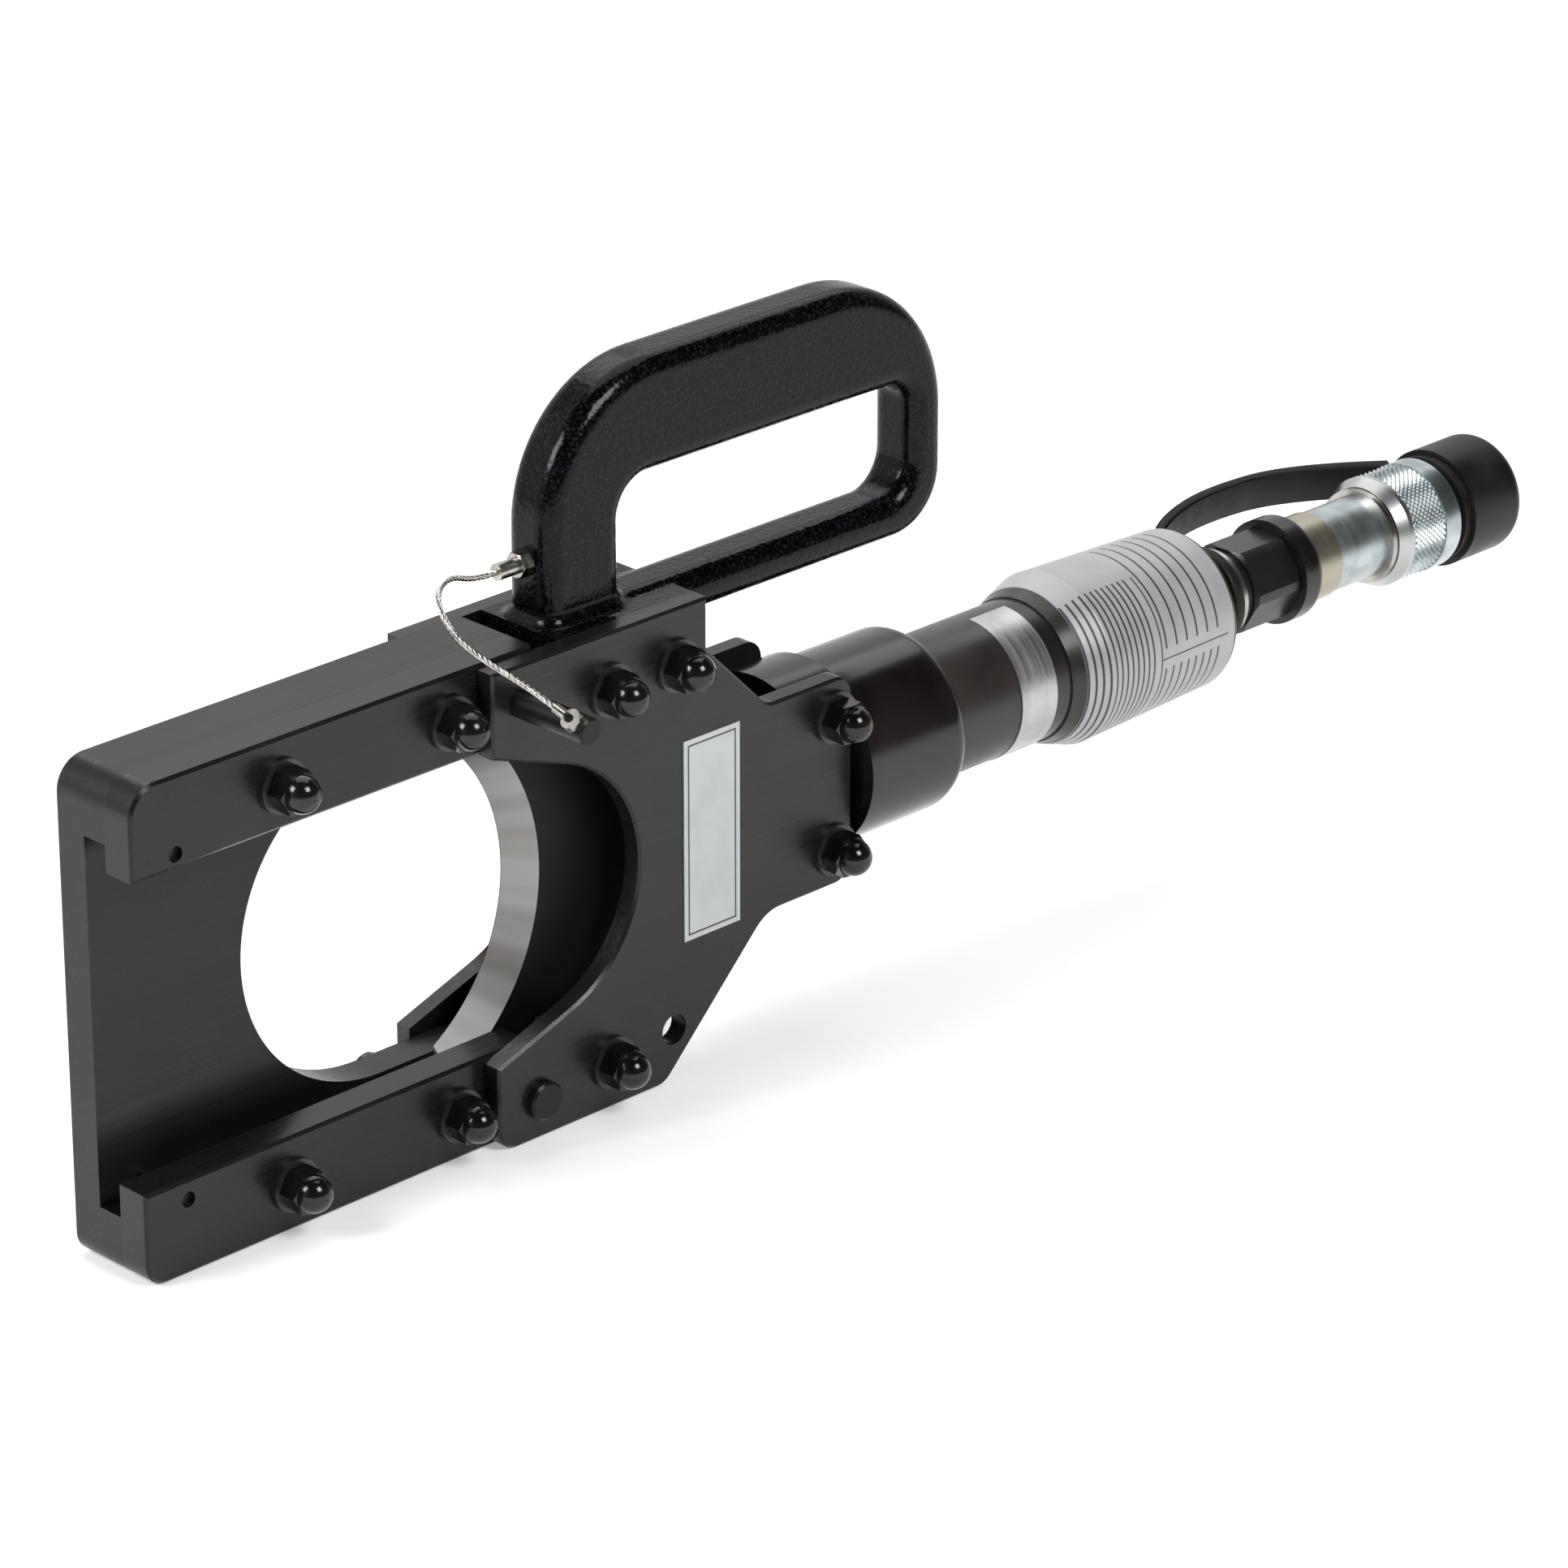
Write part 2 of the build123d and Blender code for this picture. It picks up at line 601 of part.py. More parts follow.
def side_sheet():
    """The outline of a body plate."""
    shelf = SIDE_TOP - SHOULDER_STEP
    neck_top = AXIS_Z + NECK_HALF
    neck_foot = AXIS_Z - NECK_HALF
    upper_x = SHOULDER_X + shelf - neck_top
    lower_x = TOE_X + neck_foot
    sheet = outline((SIDE_LEFT, 0), (TOE_X, 0), (lower_x, neck_foot), (SIDE_RIGHT, neck_foot),
                    (SIDE_RIGHT, neck_top), (upper_x, neck_top), (SHOULDER_X, shelf), (SHOULDER_X, SIDE_TOP),
                    (SIDE_LEFT, SIDE_TOP))
    sheet = rounded(sheet, (SIDE_LEFT, 0, SIDE_HEEL_R), (TOE_X, 0, SIDE_HEEL_R),
                    (lower_x, neck_foot, SIDE_HOLLOW_R), (upper_x, neck_top, SIDE_HOLLOW_R / 2),
                    (SIDE_RIGHT, neck_foot, SIDE_CORNER_R), (SIDE_RIGHT, neck_top, SIDE_CORNER_R))
    centre = SIDE_LEFT + CUTOUT_LEAD
    slope = radians(CUTOUT_FLARE)
    touch_x = centre + CUTOUT_R * sin(slope)
    touch_h = CUTOUT_R * cos(slope)
    mouth_x = SIDE_LEFT - SIDE_CORNER_R
    mouth_h = touch_h + (touch_x - mouth_x) * tan(slope)
    sheet -= Pos(centre, AXIS_Z) * Circle(CUTOUT_R)
    return sheet - outline((mouth_x, AXIS_Z - mouth_h), (touch_x, AXIS_Z - touch_h),
                           (touch_x, AXIS_Z + touch_h), (mouth_x, AXIS_Z + mouth_h))


def body_places():
    """The body's five bolt places."""
    tongue_z = SIDE_TOP - TONGUE_BOLT_DROP
    tongue_x = TONGUE_LEFT + TONGUE_BOLT_LEAD
    neck_x = SIDE_RIGHT - NECK_BOLT_INSET
    return [(tongue_x, tongue_z), (tongue_x + TONGUE_BOLT_PITCH, tongue_z),
            (neck_x, AXIS_Z + NECK_BOLT_RISE), (neck_x, AXIS_Z - NECK_BOLT_RISE),
            (HINGE_X + FOOT_BOLT_X, FOOT_BOLT_Z)]


def side_plate(y0, y1, outer):
    """A body plate whose outer face, first or last along Y, has a chamfered rim."""
    plate = slab(side_sheet(), y0, y1)
    plate = chamfer(plate.faces().sort_by(Axis.Y)[outer].edges(), SIDE_CHAMFER)
    plate -= bolt_holes(body_places(), y0, y1)
    plate -= cross_pin(HANG_X, HANG_HOLE_Z, HANG_HOLE_R, y0, y1)
    return plate - cross_pin(HINGE_X, HINGE_Z, HINGE_PIN_R, y0, y1)


def front_side_plate():
    """The cheek on the nuts' side, which guides the latch pin."""
    plate = side_plate(Y_OUT_FRONT, Y_IN_FRONT, 0)
    return plate - cross_pin(LATCH_X, LATCH_Z, LATCH_R + RUNNING_FIT, Y_OUT_FRONT, Y_IN_FRONT)


def rear_side_plate():
    """The cheek on the bolt heads' side."""
    return side_plate(Y_IN_REAR, Y_OUT_REAR, -1)


def carry_handle():
    """The cast loop handle and the tongue that the cheeks clamp."""
    left = TONGUE_LEFT + POST_LEAD
    right = left + HANDLE_LENGTH
    top = SIDE_TOP + HANDLE_RISE
    foot = SIDE_TOP - BAR_DROP
    loop = outline((left, foot), (right, foot), (right, top), (left, top))
    loop = rounded(loop, (left, top, HANDLE_FRONT_R), (right, top, HANDLE_REAR_R),
                   (right, foot, HANDLE_HEEL_R))
    hand_left = left + POST_W
    hand_right = right - REAR_POST_W
    hand_foot = foot + BAR_H
    hand_top = top - GRIP_H
    hand = outline((hand_left, hand_foot), (hand_right, hand_foot), (hand_right, hand_top),
                   (hand_left, hand_top))
    loop -= rounded(hand, (hand_left, hand_top, HAND_FRONT_R), (hand_right, hand_top, HAND_REAR_R),
                    (hand_right, hand_foot, HAND_FRONT_R), (hand_left, hand_foot, FOOT_FILLET))
    casting = slab(loop, -HANDLE_T / 2, HANDLE_T / 2)
    rims = casting.faces().sort_by(Axis.Y)
    casting = fillet(rims[0].edges() + rims[-1].edges(), HANDLE_EDGE_R)
    shelf = SIDE_TOP - TONGUE_DEPTH
    tongue = outline((TONGUE_LEFT, shelf), (SHOULDER_X, shelf), (SHOULDER_X, SIDE_TOP),
                     (TONGUE_LEFT, SIDE_TOP))
    tongue = slab(tongue, Y_IN_FRONT, Y_IN_REAR)
    whole = casting + tongue
    seam = new_edges(casting, tongue, combined=whole).filter_by_position(Axis.Z, SIDE_TOP, SIDE_TOP)
    whole = fillet(seam, FOOT_FILLET)
    return whole - bolt_holes(body_places()[:2], Y_IN_FRONT, Y_IN_REAR)


def neck_block():
    """The round block, flatted to fit between the cheeks, that the cylinder is screwed to."""
    block = ring(NECK_X, COLLAR_X, NECK_BLOCK_R, ROD_R + ROD_PLAY)
    low = AXIS_Z - NECK_BLOCK_R
    high = AXIS_Z + NECK_BLOCK_R
    flats = outline((NECK_X, low), (COLLAR_X, low), (COLLAR_X, high), (NECK_X, high))
    block &= slab(flats, Y_IN_FRONT, Y_IN_REAR)
    return block - bolt_holes(body_places()[2:4], Y_IN_FRONT, Y_IN_REAR)


def foot_spacer():
    """The tube round the foot bolt that keeps the cheeks apart."""
    x, z = body_places()[4]
    post = cross_pin(x, z, FOOT_SPACER_R, Y_IN_FRONT, Y_IN_REAR)
    return post - cross_pin(x, z, BOLT_R + BOLT_PLAY, Y_IN_FRONT, Y_IN_REAR)


def hinge_pin():
    """The fixed pin that the frame swings on."""
    front = Y_OUT_FRONT - HINGE_PIN_PROUD
    rear = Y_OUT_REAR + HINGE_PIN_PROUD
    pin = cross_pin(HINGE_X, HINGE_Z, HINGE_PIN_R, front, rear)
    return chamfer(pin.edges().filter_by(GeomType.CIRCLE), PIN_CHAMFER)


def cylinder_collar():
    """The collar that joins the barrel to the neck and holds the rod's bush."""
    end = COLLAR_X + COLLAR_LENGTH
    bush_r = ROD_R + BUSH_WALL
    return turned((COLLAR_X, bush_r), (COLLAR_X, COLLAR_R), (end, COLLAR_R), (end, BARREL_R),
                  (BARREL_X, BARREL_R), (BARREL_X, bush_r), rounds=[(end, COLLAR_R, COLLAR_ROUND)])


def rod_wiper():
    """The wiper that keeps dirt out of the gland."""
    return ring(COLLAR_X, COLLAR_X + WIPER_LENGTH, ROD_R + BUSH_WALL, ROD_R + PISTON_PLAY)


def rod_bush():
    """The bush that guides the rod."""
    return ring(COLLAR_X + WIPER_LENGTH, BARREL_X, ROD_R + BUSH_WALL, ROD_R + RUNNING_FIT)


def barrel():
    """The cylinder barrel that the piston runs in."""
    return ring(BARREL_X, BARREL_END, BARREL_R, BORE_R)


def can_radius(x):
    """The rear cylinder's outside radius along its ramp and its slow taper."""
    start = CAN_X + CAN_RAMP
    lip = BARREL_R + CAN_LIP
    if x < start:
        return lip + (CAN_R - lip) * (x - CAN_X) / CAN_RAMP
    return CAN_R - CAN_TAPER * (x - start) / (CAN_END - start)


def rear_cylinder():
    """The tapered cylinder end that closes the barrel."""
    ramp = CAN_X + CAN_RAMP
    can = turned((CAN_X, BARREL_R), (CAN_X, can_radius(CAN_X)), (ramp, can_radius(ramp)),
                 (CAN_END, can_radius(CAN_END)), (CAN_END, SPIGOT_R), (BARREL_END, SPIGOT_R),
                 (BARREL_END, BARREL_R), rounds=[(CAN_END, can_radius(CAN_END), CAN_ROUND)])
    return can - barrel_seal()


def barrel_seal():
    """The static seal between the barrel's end and the rear cylinder."""
    middle = (BORE_R + BARREL_R) / 2
    return ring(BARREL_END, BARREL_END + STATIC_SEAL, middle + STATIC_SEAL / 2, middle - STATIC_SEAL / 2)


def return_spring():
    """The spring that brings the ram back."""
    return coil(BARREL_X + SEAT_GAP, PISTON_X - SEAT_GAP, SPRING_R, SPRING_WIRE, SPRING_TURNS)


def foil_wrap():
    """The blank foil plate wrapped round the rear cylinder, from partway up its ramp."""
    stations = (CAN_X + FOIL_START, CAN_X + CAN_RAMP, CAN_END - CAN_ROUND - FOIL_END)
    line = [(x, can_radius(x)) for x in stations]
    return turned(*line, *[(x, r + FOIL_T) for x, r in reversed(line)])


def barrel_band():
    """The blank foil band over the barrel's front half."""
    x0 = COLLAR_X + COLLAR_LENGTH + BAND_START
    x1 = x0 + BAND_WIDTH
    reach = BARREL_R + FOIL_T
    low = AXIS_Z - reach
    high = AXIS_Z + reach
    front = slab(outline((x0, low), (x1, low), (x1, high), (x0, high)), -reach, 0)
    return ring(x0, x1, reach, BARREL_R) & front


def side_label():
    """The blank plate stuck on the front cheek."""
    x0 = SHOULDER_X - LABEL_SETBACK
    half = LABEL_HEIGHT / 2
    sheet = outline((x0, AXIS_Z - half), (x0 + LABEL_LENGTH, AXIS_Z - half),
                    (x0 + LABEL_LENGTH, AXIS_Z + half),
                    (x0, AXIS_Z + half))
    return slab(sheet, Y_OUT_FRONT - FOIL_T, Y_OUT_FRONT)


# Adapter, coupler and dust cap


def hose_adapter():
    """The hexagon adapter between the cylinder and the coupler."""
    along = Plane(origin=(HEX_X, 0, AXIS_Z), x_dir=(0, 1, 0), z_dir=(1, 0, 0))
    turned_off = Pos(0, 0, HEX_LENGTH / 2) * Cylinder(HEX_CORNER_R, HEX_LENGTH)
    hexagon = along * (chamfered_hex(HEX_ACROSS, HEX_LENGTH) & turned_off)
    stem = turned((BARREL_END, 0), (BARREL_END, SPIGOT_R), (CAN_END, SPIGOT_R), (CAN_END, ADAPTER_NECK_R),
                  (HEX_X + HEX_LENGTH / 2, ADAPTER_NECK_R), (HEX_X + HEX_LENGTH / 2, 0))
    rim = turned((HEX_X + HEX_LENGTH / 2, 0), (HEX_X + HEX_LENGTH / 2, ADAPTER_NECK_R),
                 (RIM_X, ADAPTER_NECK_R), (RIM_X, RIM_R), (COUPLER_X, RIM_R), (COUPLER_X, 0),
                 rounds=[(COUPLER_X, RIM_R, RIM_ROUND)])
    return hexagon + stem + rim - ring(BARREL_END, COUPLER_X, PASSAGE_R, 0)


def adapter_snap_ring():
    """The bright ring on the adapter's neck."""
    x0 = CAN_END + SNAP_RING_SEAT
    return ring(x0, x0 + SNAP_RING_W, ADAPTER_NECK_R + SNAP_RING_T, ADAPTER_NECK_R)


def coupler_body():
    """The coupler's body, with a flange that holds its sleeve and a nose that holds its poppet."""
    seat_x = NOSE_END - POPPET_SEAT
    chamber_x = seat_x - POPPET_CHAMBER_LENGTH
    return turned((COUPLER_X, PASSAGE_R), (COUPLER_X, COUPLER_COLLAR_R), (COUPLER_BODY_X, COUPLER_COLLAR_R),
                  (COUPLER_BODY_X, COUPLER_R), (FLANGE_X, COUPLER_R), (FLANGE_X, COUPLER_FLANGE_R),
                  (NOSE_X, COUPLER_FLANGE_R), (NOSE_X, COUPLER_NOSE_R), (NOSE_END, COUPLER_NOSE_R),
                  (NOSE_END, POPPET_R + POPPET_PLAY), (seat_x, POPPET_R + POPPET_PLAY),
                  (seat_x, POPPET_CHAMBER_R),
                  (chamber_x, POPPET_CHAMBER_R), (chamber_x, PASSAGE_R))


def sleeve_retaining_ring():
    """The ring that stops the sleeve from sliding back."""
    x1 = SLEEVE_X - SLEEVE_PLAY
    return ring(x1 - KEEPER_W, x1, COUPLER_R + KEEPER_T, COUPLER_R)


def coupler_sleeve():
    """The turning sleeve that draws the mating half on."""
    sleeve = turned((SLEEVE_X, COUPLER_R + SLEEVE_PLAY), (SLEEVE_X, SLEEVE_R), (SLEEVE_END, SLEEVE_R),
                    (SLEEVE_END, SLEEVE_BORE_R), (SLEEVE_X + SLEEVE_LIP, SLEEVE_BORE_R),
                    (SLEEVE_X + SLEEVE_LIP, COUPLER_R + SLEEVE_PLAY))
    rims = sleeve.edges().filter_by(GeomType.CIRCLE).group_by(SortBy.RADIUS)[-1]
    return chamfer(rims, SLEEVE_CHAMFER)


def coupler_poppet():
    """The valve that the mating half pushes in."""
    seat_x = NOSE_END - POPPET_SEAT - SEAT_GAP
    flange_x = seat_x - POPPET_FLANGE
    return turned((flange_x - POPPET_TAIL, 0), (flange_x - POPPET_TAIL, POPPET_R / 2),
                  (flange_x, POPPET_R / 2),
                  (flange_x, POPPET_CHAMBER_R - SLEEVE_PLAY), (seat_x, POPPET_CHAMBER_R - SLEEVE_PLAY),
                  (seat_x, POPPET_R), (NOSE_END, POPPET_R), (NOSE_END, 0))


def poppet_spring():
    """The spring behind the poppet."""
    seat_x = NOSE_END - POPPET_SEAT
    end = seat_x - SEAT_GAP - POPPET_FLANGE - SEAT_GAP
    start = seat_x - POPPET_CHAMBER_LENGTH + SEAT_GAP
    return coil(start, end, POPPET_SPRING_R, POPPET_SPRING_WIRE, POPPET_SPRING_TURNS)


def dust_cap():
    """The dust cap, whose hollow plug goes into the sleeve."""
    start = CAP_X - CAP_PLUG_DEPTH
    end = CAP_HEAD_X + CAP_HEAD
    floor = end - CAP_HEAD / 2
    bore = PLUG_R - CAP_PLUG_WALL
    return turned((start, bore), (start, PLUG_R), (CAP_HEAD_X, PLUG_R), (CAP_HEAD_X, CAP_R),
                  (end, CAP_R), (end, 0),
                  (floor, 0), (floor, bore), rounds=[(end, CAP_R, CAP_ROUND)])


def strap_end_ring():
    """The strap's ring in the groove behind the cap's head."""
    return ring(CAP_X, CAP_HEAD_X, STRAP_END_R, PLUG_R)


def cap_strap():
    """The rubber strap, with the ring that holds it on the adapter's neck beside the bright ring."""
    ring_x = CAN_END + SNAP_RING_SEAT - SEAT_GAP - STRAP_RING_W
    loop = ring(ring_x, ring_x + STRAP_RING_W, ADAPTER_NECK_R + STRAP_T, ADAPTER_NECK_R)
    root_x = ring_x + STRAP_RING_W / 2
    low = max(STRAP_END_R, SLEEVE_R) + SEAT_GAP + STRAP_T / 2
    line = FilletPolyline(
        (root_x, ADAPTER_NECK_R + STRAP_T / 2),
        (root_x, STRAP_RISE - STRAP_BEND),
        (COUPLER_X - STRAP_KNEE, STRAP_RISE - STRAP_LEAN),
        (COUPLER_X, STRAP_RISE),
        (SLEEVE_X, STRAP_RISE - STRAP_T),
        (CAP_HEAD_X - SEAT_GAP, low),
        radius=STRAP_BEND / 2,
    )
    tilt = radians(STRAP_TILT)
    plane = Plane(origin=(0, 0, AXIS_Z), x_dir=(1, 0, 0), z_dir=(0, -cos(tilt), sin(tilt)))
    band = extrude(plane * trace(line, line_width=STRAP_T), amount=STRAP_W / 2, both=True)
    return loop + (band - ring(CAN_END, HEX_X, ADAPTER_NECK_R, 0))


# Latch pin and its lanyard


def latch_tip():
    """The Y of the drawn latch pin's tip, clear of the frame."""
    return Y_FRONT - SEAT_GAP


def latch_pin():
    """The pin that locks the frame's upper arm, shown drawn out."""
    pin = cross_pin(LATCH_X, LATCH_Z, LATCH_R, latch_tip() - LATCH_LENGTH, latch_tip())
    pin = chamfer(pin.edges().filter_by(GeomType.CIRCLE), PIN_CHAMFER)
    return pin + eye_boss(EYE_STUD_R, LATCH_R + EYE_T)


def eye_place():
    """The point on the latch pin's axis under the lanyard's eye."""
    return Vector(LATCH_X, latch_tip() - LATCH_LENGTH + LATCH_EYE_INSET, LATCH_Z)


def eye_way():
    """The way the lanyard's eye faces, up and towards the frame's nose."""
    return Vector(-sin(radians(EYE_TILT)), 0, cos(radians(EYE_TILT)))


def eye_boss(radius, height):
    """A round bar from the latch pin's axis out through the lanyard's eye."""
    plane = Plane(origin=eye_place(), x_dir=(0, 1, 0), z_dir=eye_way())
    return extrude(plane * Circle(radius), amount=height)


def lanyard_end():
    """Where the wire meets the eye's ferrule, and the way it comes in."""
    last = Vector(*LANYARD_BENDS[-1])
    target = eye_place() + eye_way() * (LATCH_R + EYE_T / 2)
    way = (target - last).normalized()
    return target - way * (EYE_R + EYE_FERRULE), way


def latch_eye():
    """The lanyard's eye on the latch pin's stud, with its crimped ferrule."""
    eye = eye_place()
    end, way = lanyard_end()
    loop = eye_boss(EYE_R, LATCH_R + EYE_T)
    loop += extrude(Plane(origin=end, z_dir=way) * Circle(EYE_T), amount=EYE_R + EYE_FERRULE)
    loop -= eye_boss(EYE_STUD_R, 2 * LATCH_R)
    return loop - cross_pin(eye.X, eye.Z, LATCH_R, eye.Y - 2 * EYE_R, eye.Y + 2 * EYE_R)


def anchor_place():
    """Where the lanyard's screw meets the handle's post."""
    return Vector(TONGUE_LEFT + POST_LEAD, 0, SIDE_TOP + ANCHOR_RISE)


def lanyard_anchor():
    """The hexagon screw and crimped ferrule on the handle's post."""
    away = Plane(origin=anchor_place(), x_dir=(0, 1, 0), z_dir=(-1, 0, 0))
    from_base = (Align.CENTER, Align.CENTER, Align.MIN)
    ferrule = Cylinder(FERRULE_R, ANCHOR_HEX_LENGTH + FERRULE_LENGTH, align=from_base)
    return away * (chamfered_hex(ANCHOR_HEX, ANCHOR_HEX_LENGTH) + ferrule)


def lanyard_wire():
    """The steel wire lanyard."""
    start = anchor_place() - Vector(ANCHOR_HEX_LENGTH + FERRULE_LENGTH, 0, 0)
    return tube([tuple(start), *LANYARD_BENDS, tuple(lanyard_end()[0])], WIRE_R)


def washers(places, y_front, y_rear):
    """Washers on both outer faces at each (x, z)."""
    return group(facing(x, y, z) * washer() for x, z in places for y in (y_front, y_rear + WASHER_T))


def cap_nuts(places, y):
    """Dome nuts on the washers at each (x, z)."""
    return group(facing(x, y - WASHER_T, z) * cap_nut() for x, z in places)


def bolts(places, y_front, y_rear):
    """Through bolts at each (x, z)."""
    return group(through_bolt(x, z, y_front, y_rear) for x, z in places)


PARTS = {
    "fixed_blade_plate": fixed_blade_plate,
    "upper_rail": upper_rail,
    "lower_rail": lower_rail,
    "upper_spacer": upper_spacer,
    "lower_spacer": lower_spacer,
    "blade_stop_pins": lambda: group(stop_pin_holes(Y_FRONT + STOP_PIN_RECESS, Y_REAR - STOP_PIN_RECESS)),
    "hinge_bushes": hinge_bushes,
    "frame_bolts": lambda: bolts(frame_places(), Y_FRONT, Y_REAR),
    "frame_washers": lambda: washers(frame_places(), Y_FRONT, Y_REAR),
    "frame_cap_nuts": lambda: cap_nuts(frame_places(), Y_FRONT),
    "moving_blade": moving_blade,
    "blade_pin": blade_pin,
    "piston_rod": piston_rod,
    "piston": piston,
    "piston_seal": piston_seal,
    "front_side_plate": front_side_plate,
    "rear_side_plate": rear_side_plate,
    "carry_handle": carry_handle,
    "neck_block": neck_block,
    "foot_spacer": foot_spacer,
    "hinge_pin": hinge_pin,
    "body_bolts": lambda: bolts(body_places(), Y_OUT_FRONT, Y_OUT_REAR),
    "body_washers": lambda: washers(body_places(), Y_OUT_FRONT, Y_OUT_REAR),
    "body_cap_nuts": lambda: cap_nuts(body_places(), Y_OUT_FRONT),
    "cylinder_collar": cylinder_collar,
    "rod_wiper": rod_wiper,
    "rod_bush": rod_bush,
    "barrel": barrel,
    "rear_cylinder": rear_cylinder,
    "barrel_seal": barrel_seal,
    "return_spring": return_spring,
    "foil_wrap": foil_wrap,
    "barrel_band": barrel_band,
    "side_label": side_label,
    "hose_adapter": hose_adapter,
    "adapter_snap_ring": adapter_snap_ring,
    "coupler_body": coupler_body,
    "sleeve_retaining_ring": sleeve_retaining_ring,
    "coupler_sleeve": coupler_sleeve,
    "coupler_poppet": coupler_poppet,
    "poppet_spring": poppet_spring,
    "dust_cap": dust_cap,
    "strap_end_ring": strap_end_ring,
    "cap_strap": cap_strap,
    "latch_pin": latch_pin,
    "latch_eye": latch_eye,
    "lanyard_anchor": lanyard_anchor,
    "lanyard_wire": lanyard_wire,
}

os.makedirs("parts", exist_ok=True)
for name, make in PARTS.items():
    export_step(make(), f"parts/{name}.step")
spring_room = PISTON_X - BARREL_X - STROKE - SPRING_TURNS * SPRING_WIRE
print("stroke", round(STROKE, 2), "spring room", round(spring_room, 2))
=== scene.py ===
"""Dresses the hydraulic cable cutter: finishes, lanyard, strap, knurled sleeve, springs and studio."""
import logging
import math
from dataclasses import dataclass
from enum import Enum
from typing import ClassVar, Iterable, Optional, Sequence

import bmesh
import bpy
from mathutils import Matrix, Vector


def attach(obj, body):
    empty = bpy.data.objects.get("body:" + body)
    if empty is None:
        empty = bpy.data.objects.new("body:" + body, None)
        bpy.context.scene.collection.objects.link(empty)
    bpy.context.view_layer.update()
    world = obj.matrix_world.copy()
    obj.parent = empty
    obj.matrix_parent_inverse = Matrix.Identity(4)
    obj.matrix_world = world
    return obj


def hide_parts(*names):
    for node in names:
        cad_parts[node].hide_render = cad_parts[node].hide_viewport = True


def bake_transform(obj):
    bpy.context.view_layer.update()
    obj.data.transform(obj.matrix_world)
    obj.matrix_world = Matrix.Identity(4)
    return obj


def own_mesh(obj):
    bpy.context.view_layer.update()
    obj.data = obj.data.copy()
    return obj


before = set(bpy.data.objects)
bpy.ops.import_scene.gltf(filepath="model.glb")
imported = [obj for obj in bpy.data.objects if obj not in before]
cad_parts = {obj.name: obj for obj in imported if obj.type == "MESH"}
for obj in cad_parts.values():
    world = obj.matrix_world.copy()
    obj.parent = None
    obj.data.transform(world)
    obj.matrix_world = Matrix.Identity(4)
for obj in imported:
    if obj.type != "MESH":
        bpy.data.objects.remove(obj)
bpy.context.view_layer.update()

LOG = logging.getLogger("cutter")
MM = 0.001
AXIS_Z = 63.4
AXIS = Vector((0.0, 0.0, AXIS_Z * MM))
Point = tuple[float, float, float]


class Body(Enum):
    """The bodies that the scene's own pieces ride on."""

    TOOL = "tool_body"
    LATCH = "latch"
    CAP = "cap"
    SLEEVE = "sleeve"


def linear(code: str) -> tuple[float, float, float, float]:
    """Turn an sRGB hex colour into linear light.

    Args:
        code: six hex digits after a hash sign.

    Returns:
        Red, green, blue and an alpha of one.
    """
    parts = [int(code[i:i + 2], 16) / 255 for i in (1, 3, 5)]
    red, green, blue = [c / 12.92 if c <= 0.04045 else ((c + 0.055) / 1.055) ** 2.4 for c in parts]
    return red, green, blue, 1.0


def per_metre(size: float) -> float:
    """Give the texture scale of a pattern whose features are this many millimetres wide."""
    return 1.0 / (size * MM)


def add_node(tree: bpy.types.NodeTree, kind: str, settings: Optional[dict] = None,
             inputs: Optional[dict] = None) -> bpy.types.Node:
    """Add a node with its settings and links.

    Args:
        tree: the node tree that takes it.
        kind: the node's type, without the ShaderNode that all of them start with.
        settings: the node's own properties.
        inputs: socket names or numbers, each with a value or with the output that it is linked to.

    Returns:
        The new node.
    """
    node = tree.nodes.new("ShaderNode" + kind)
    for name, value in (settings or {}).items():
        setattr(node, name, value)
    for key, value in (inputs or {}).items():
        if isinstance(value, bpy.types.NodeSocket):
            tree.links.new(value, node.inputs[key])
        else:
            node.inputs[key].default_value = value
    return node


@dataclass(frozen=True)
class Finish:
    """A surface finish, which makes its material once."""

    name: str = "finish"
    made: ClassVar[dict[str, bpy.types.Material]] = {}

    def material(self) -> bpy.types.Material:
        """Make the material, or give the one that was made before.

        Returns:
            The finish's material.
        """
        if self.name not in Finish.made:
            material = bpy.data.materials.new(self.name)
            material.use_nodes = True
            tree = material.node_tree
            tree.nodes.clear()
            shader = self.shade(tree)
            add_node(tree, "OutputMaterial", inputs={"Surface": shader.outputs[0]})
            Finish.made[self.name] = material
        return Finish.made[self.name]

    def shade(self, tree: bpy.types.NodeTree) -> bpy.types.Node:
        """Build the shader's nodes.

        Args:
            tree: the material's node tree.

        Returns:
            The shader node.
        """
        raise NotImplementedError


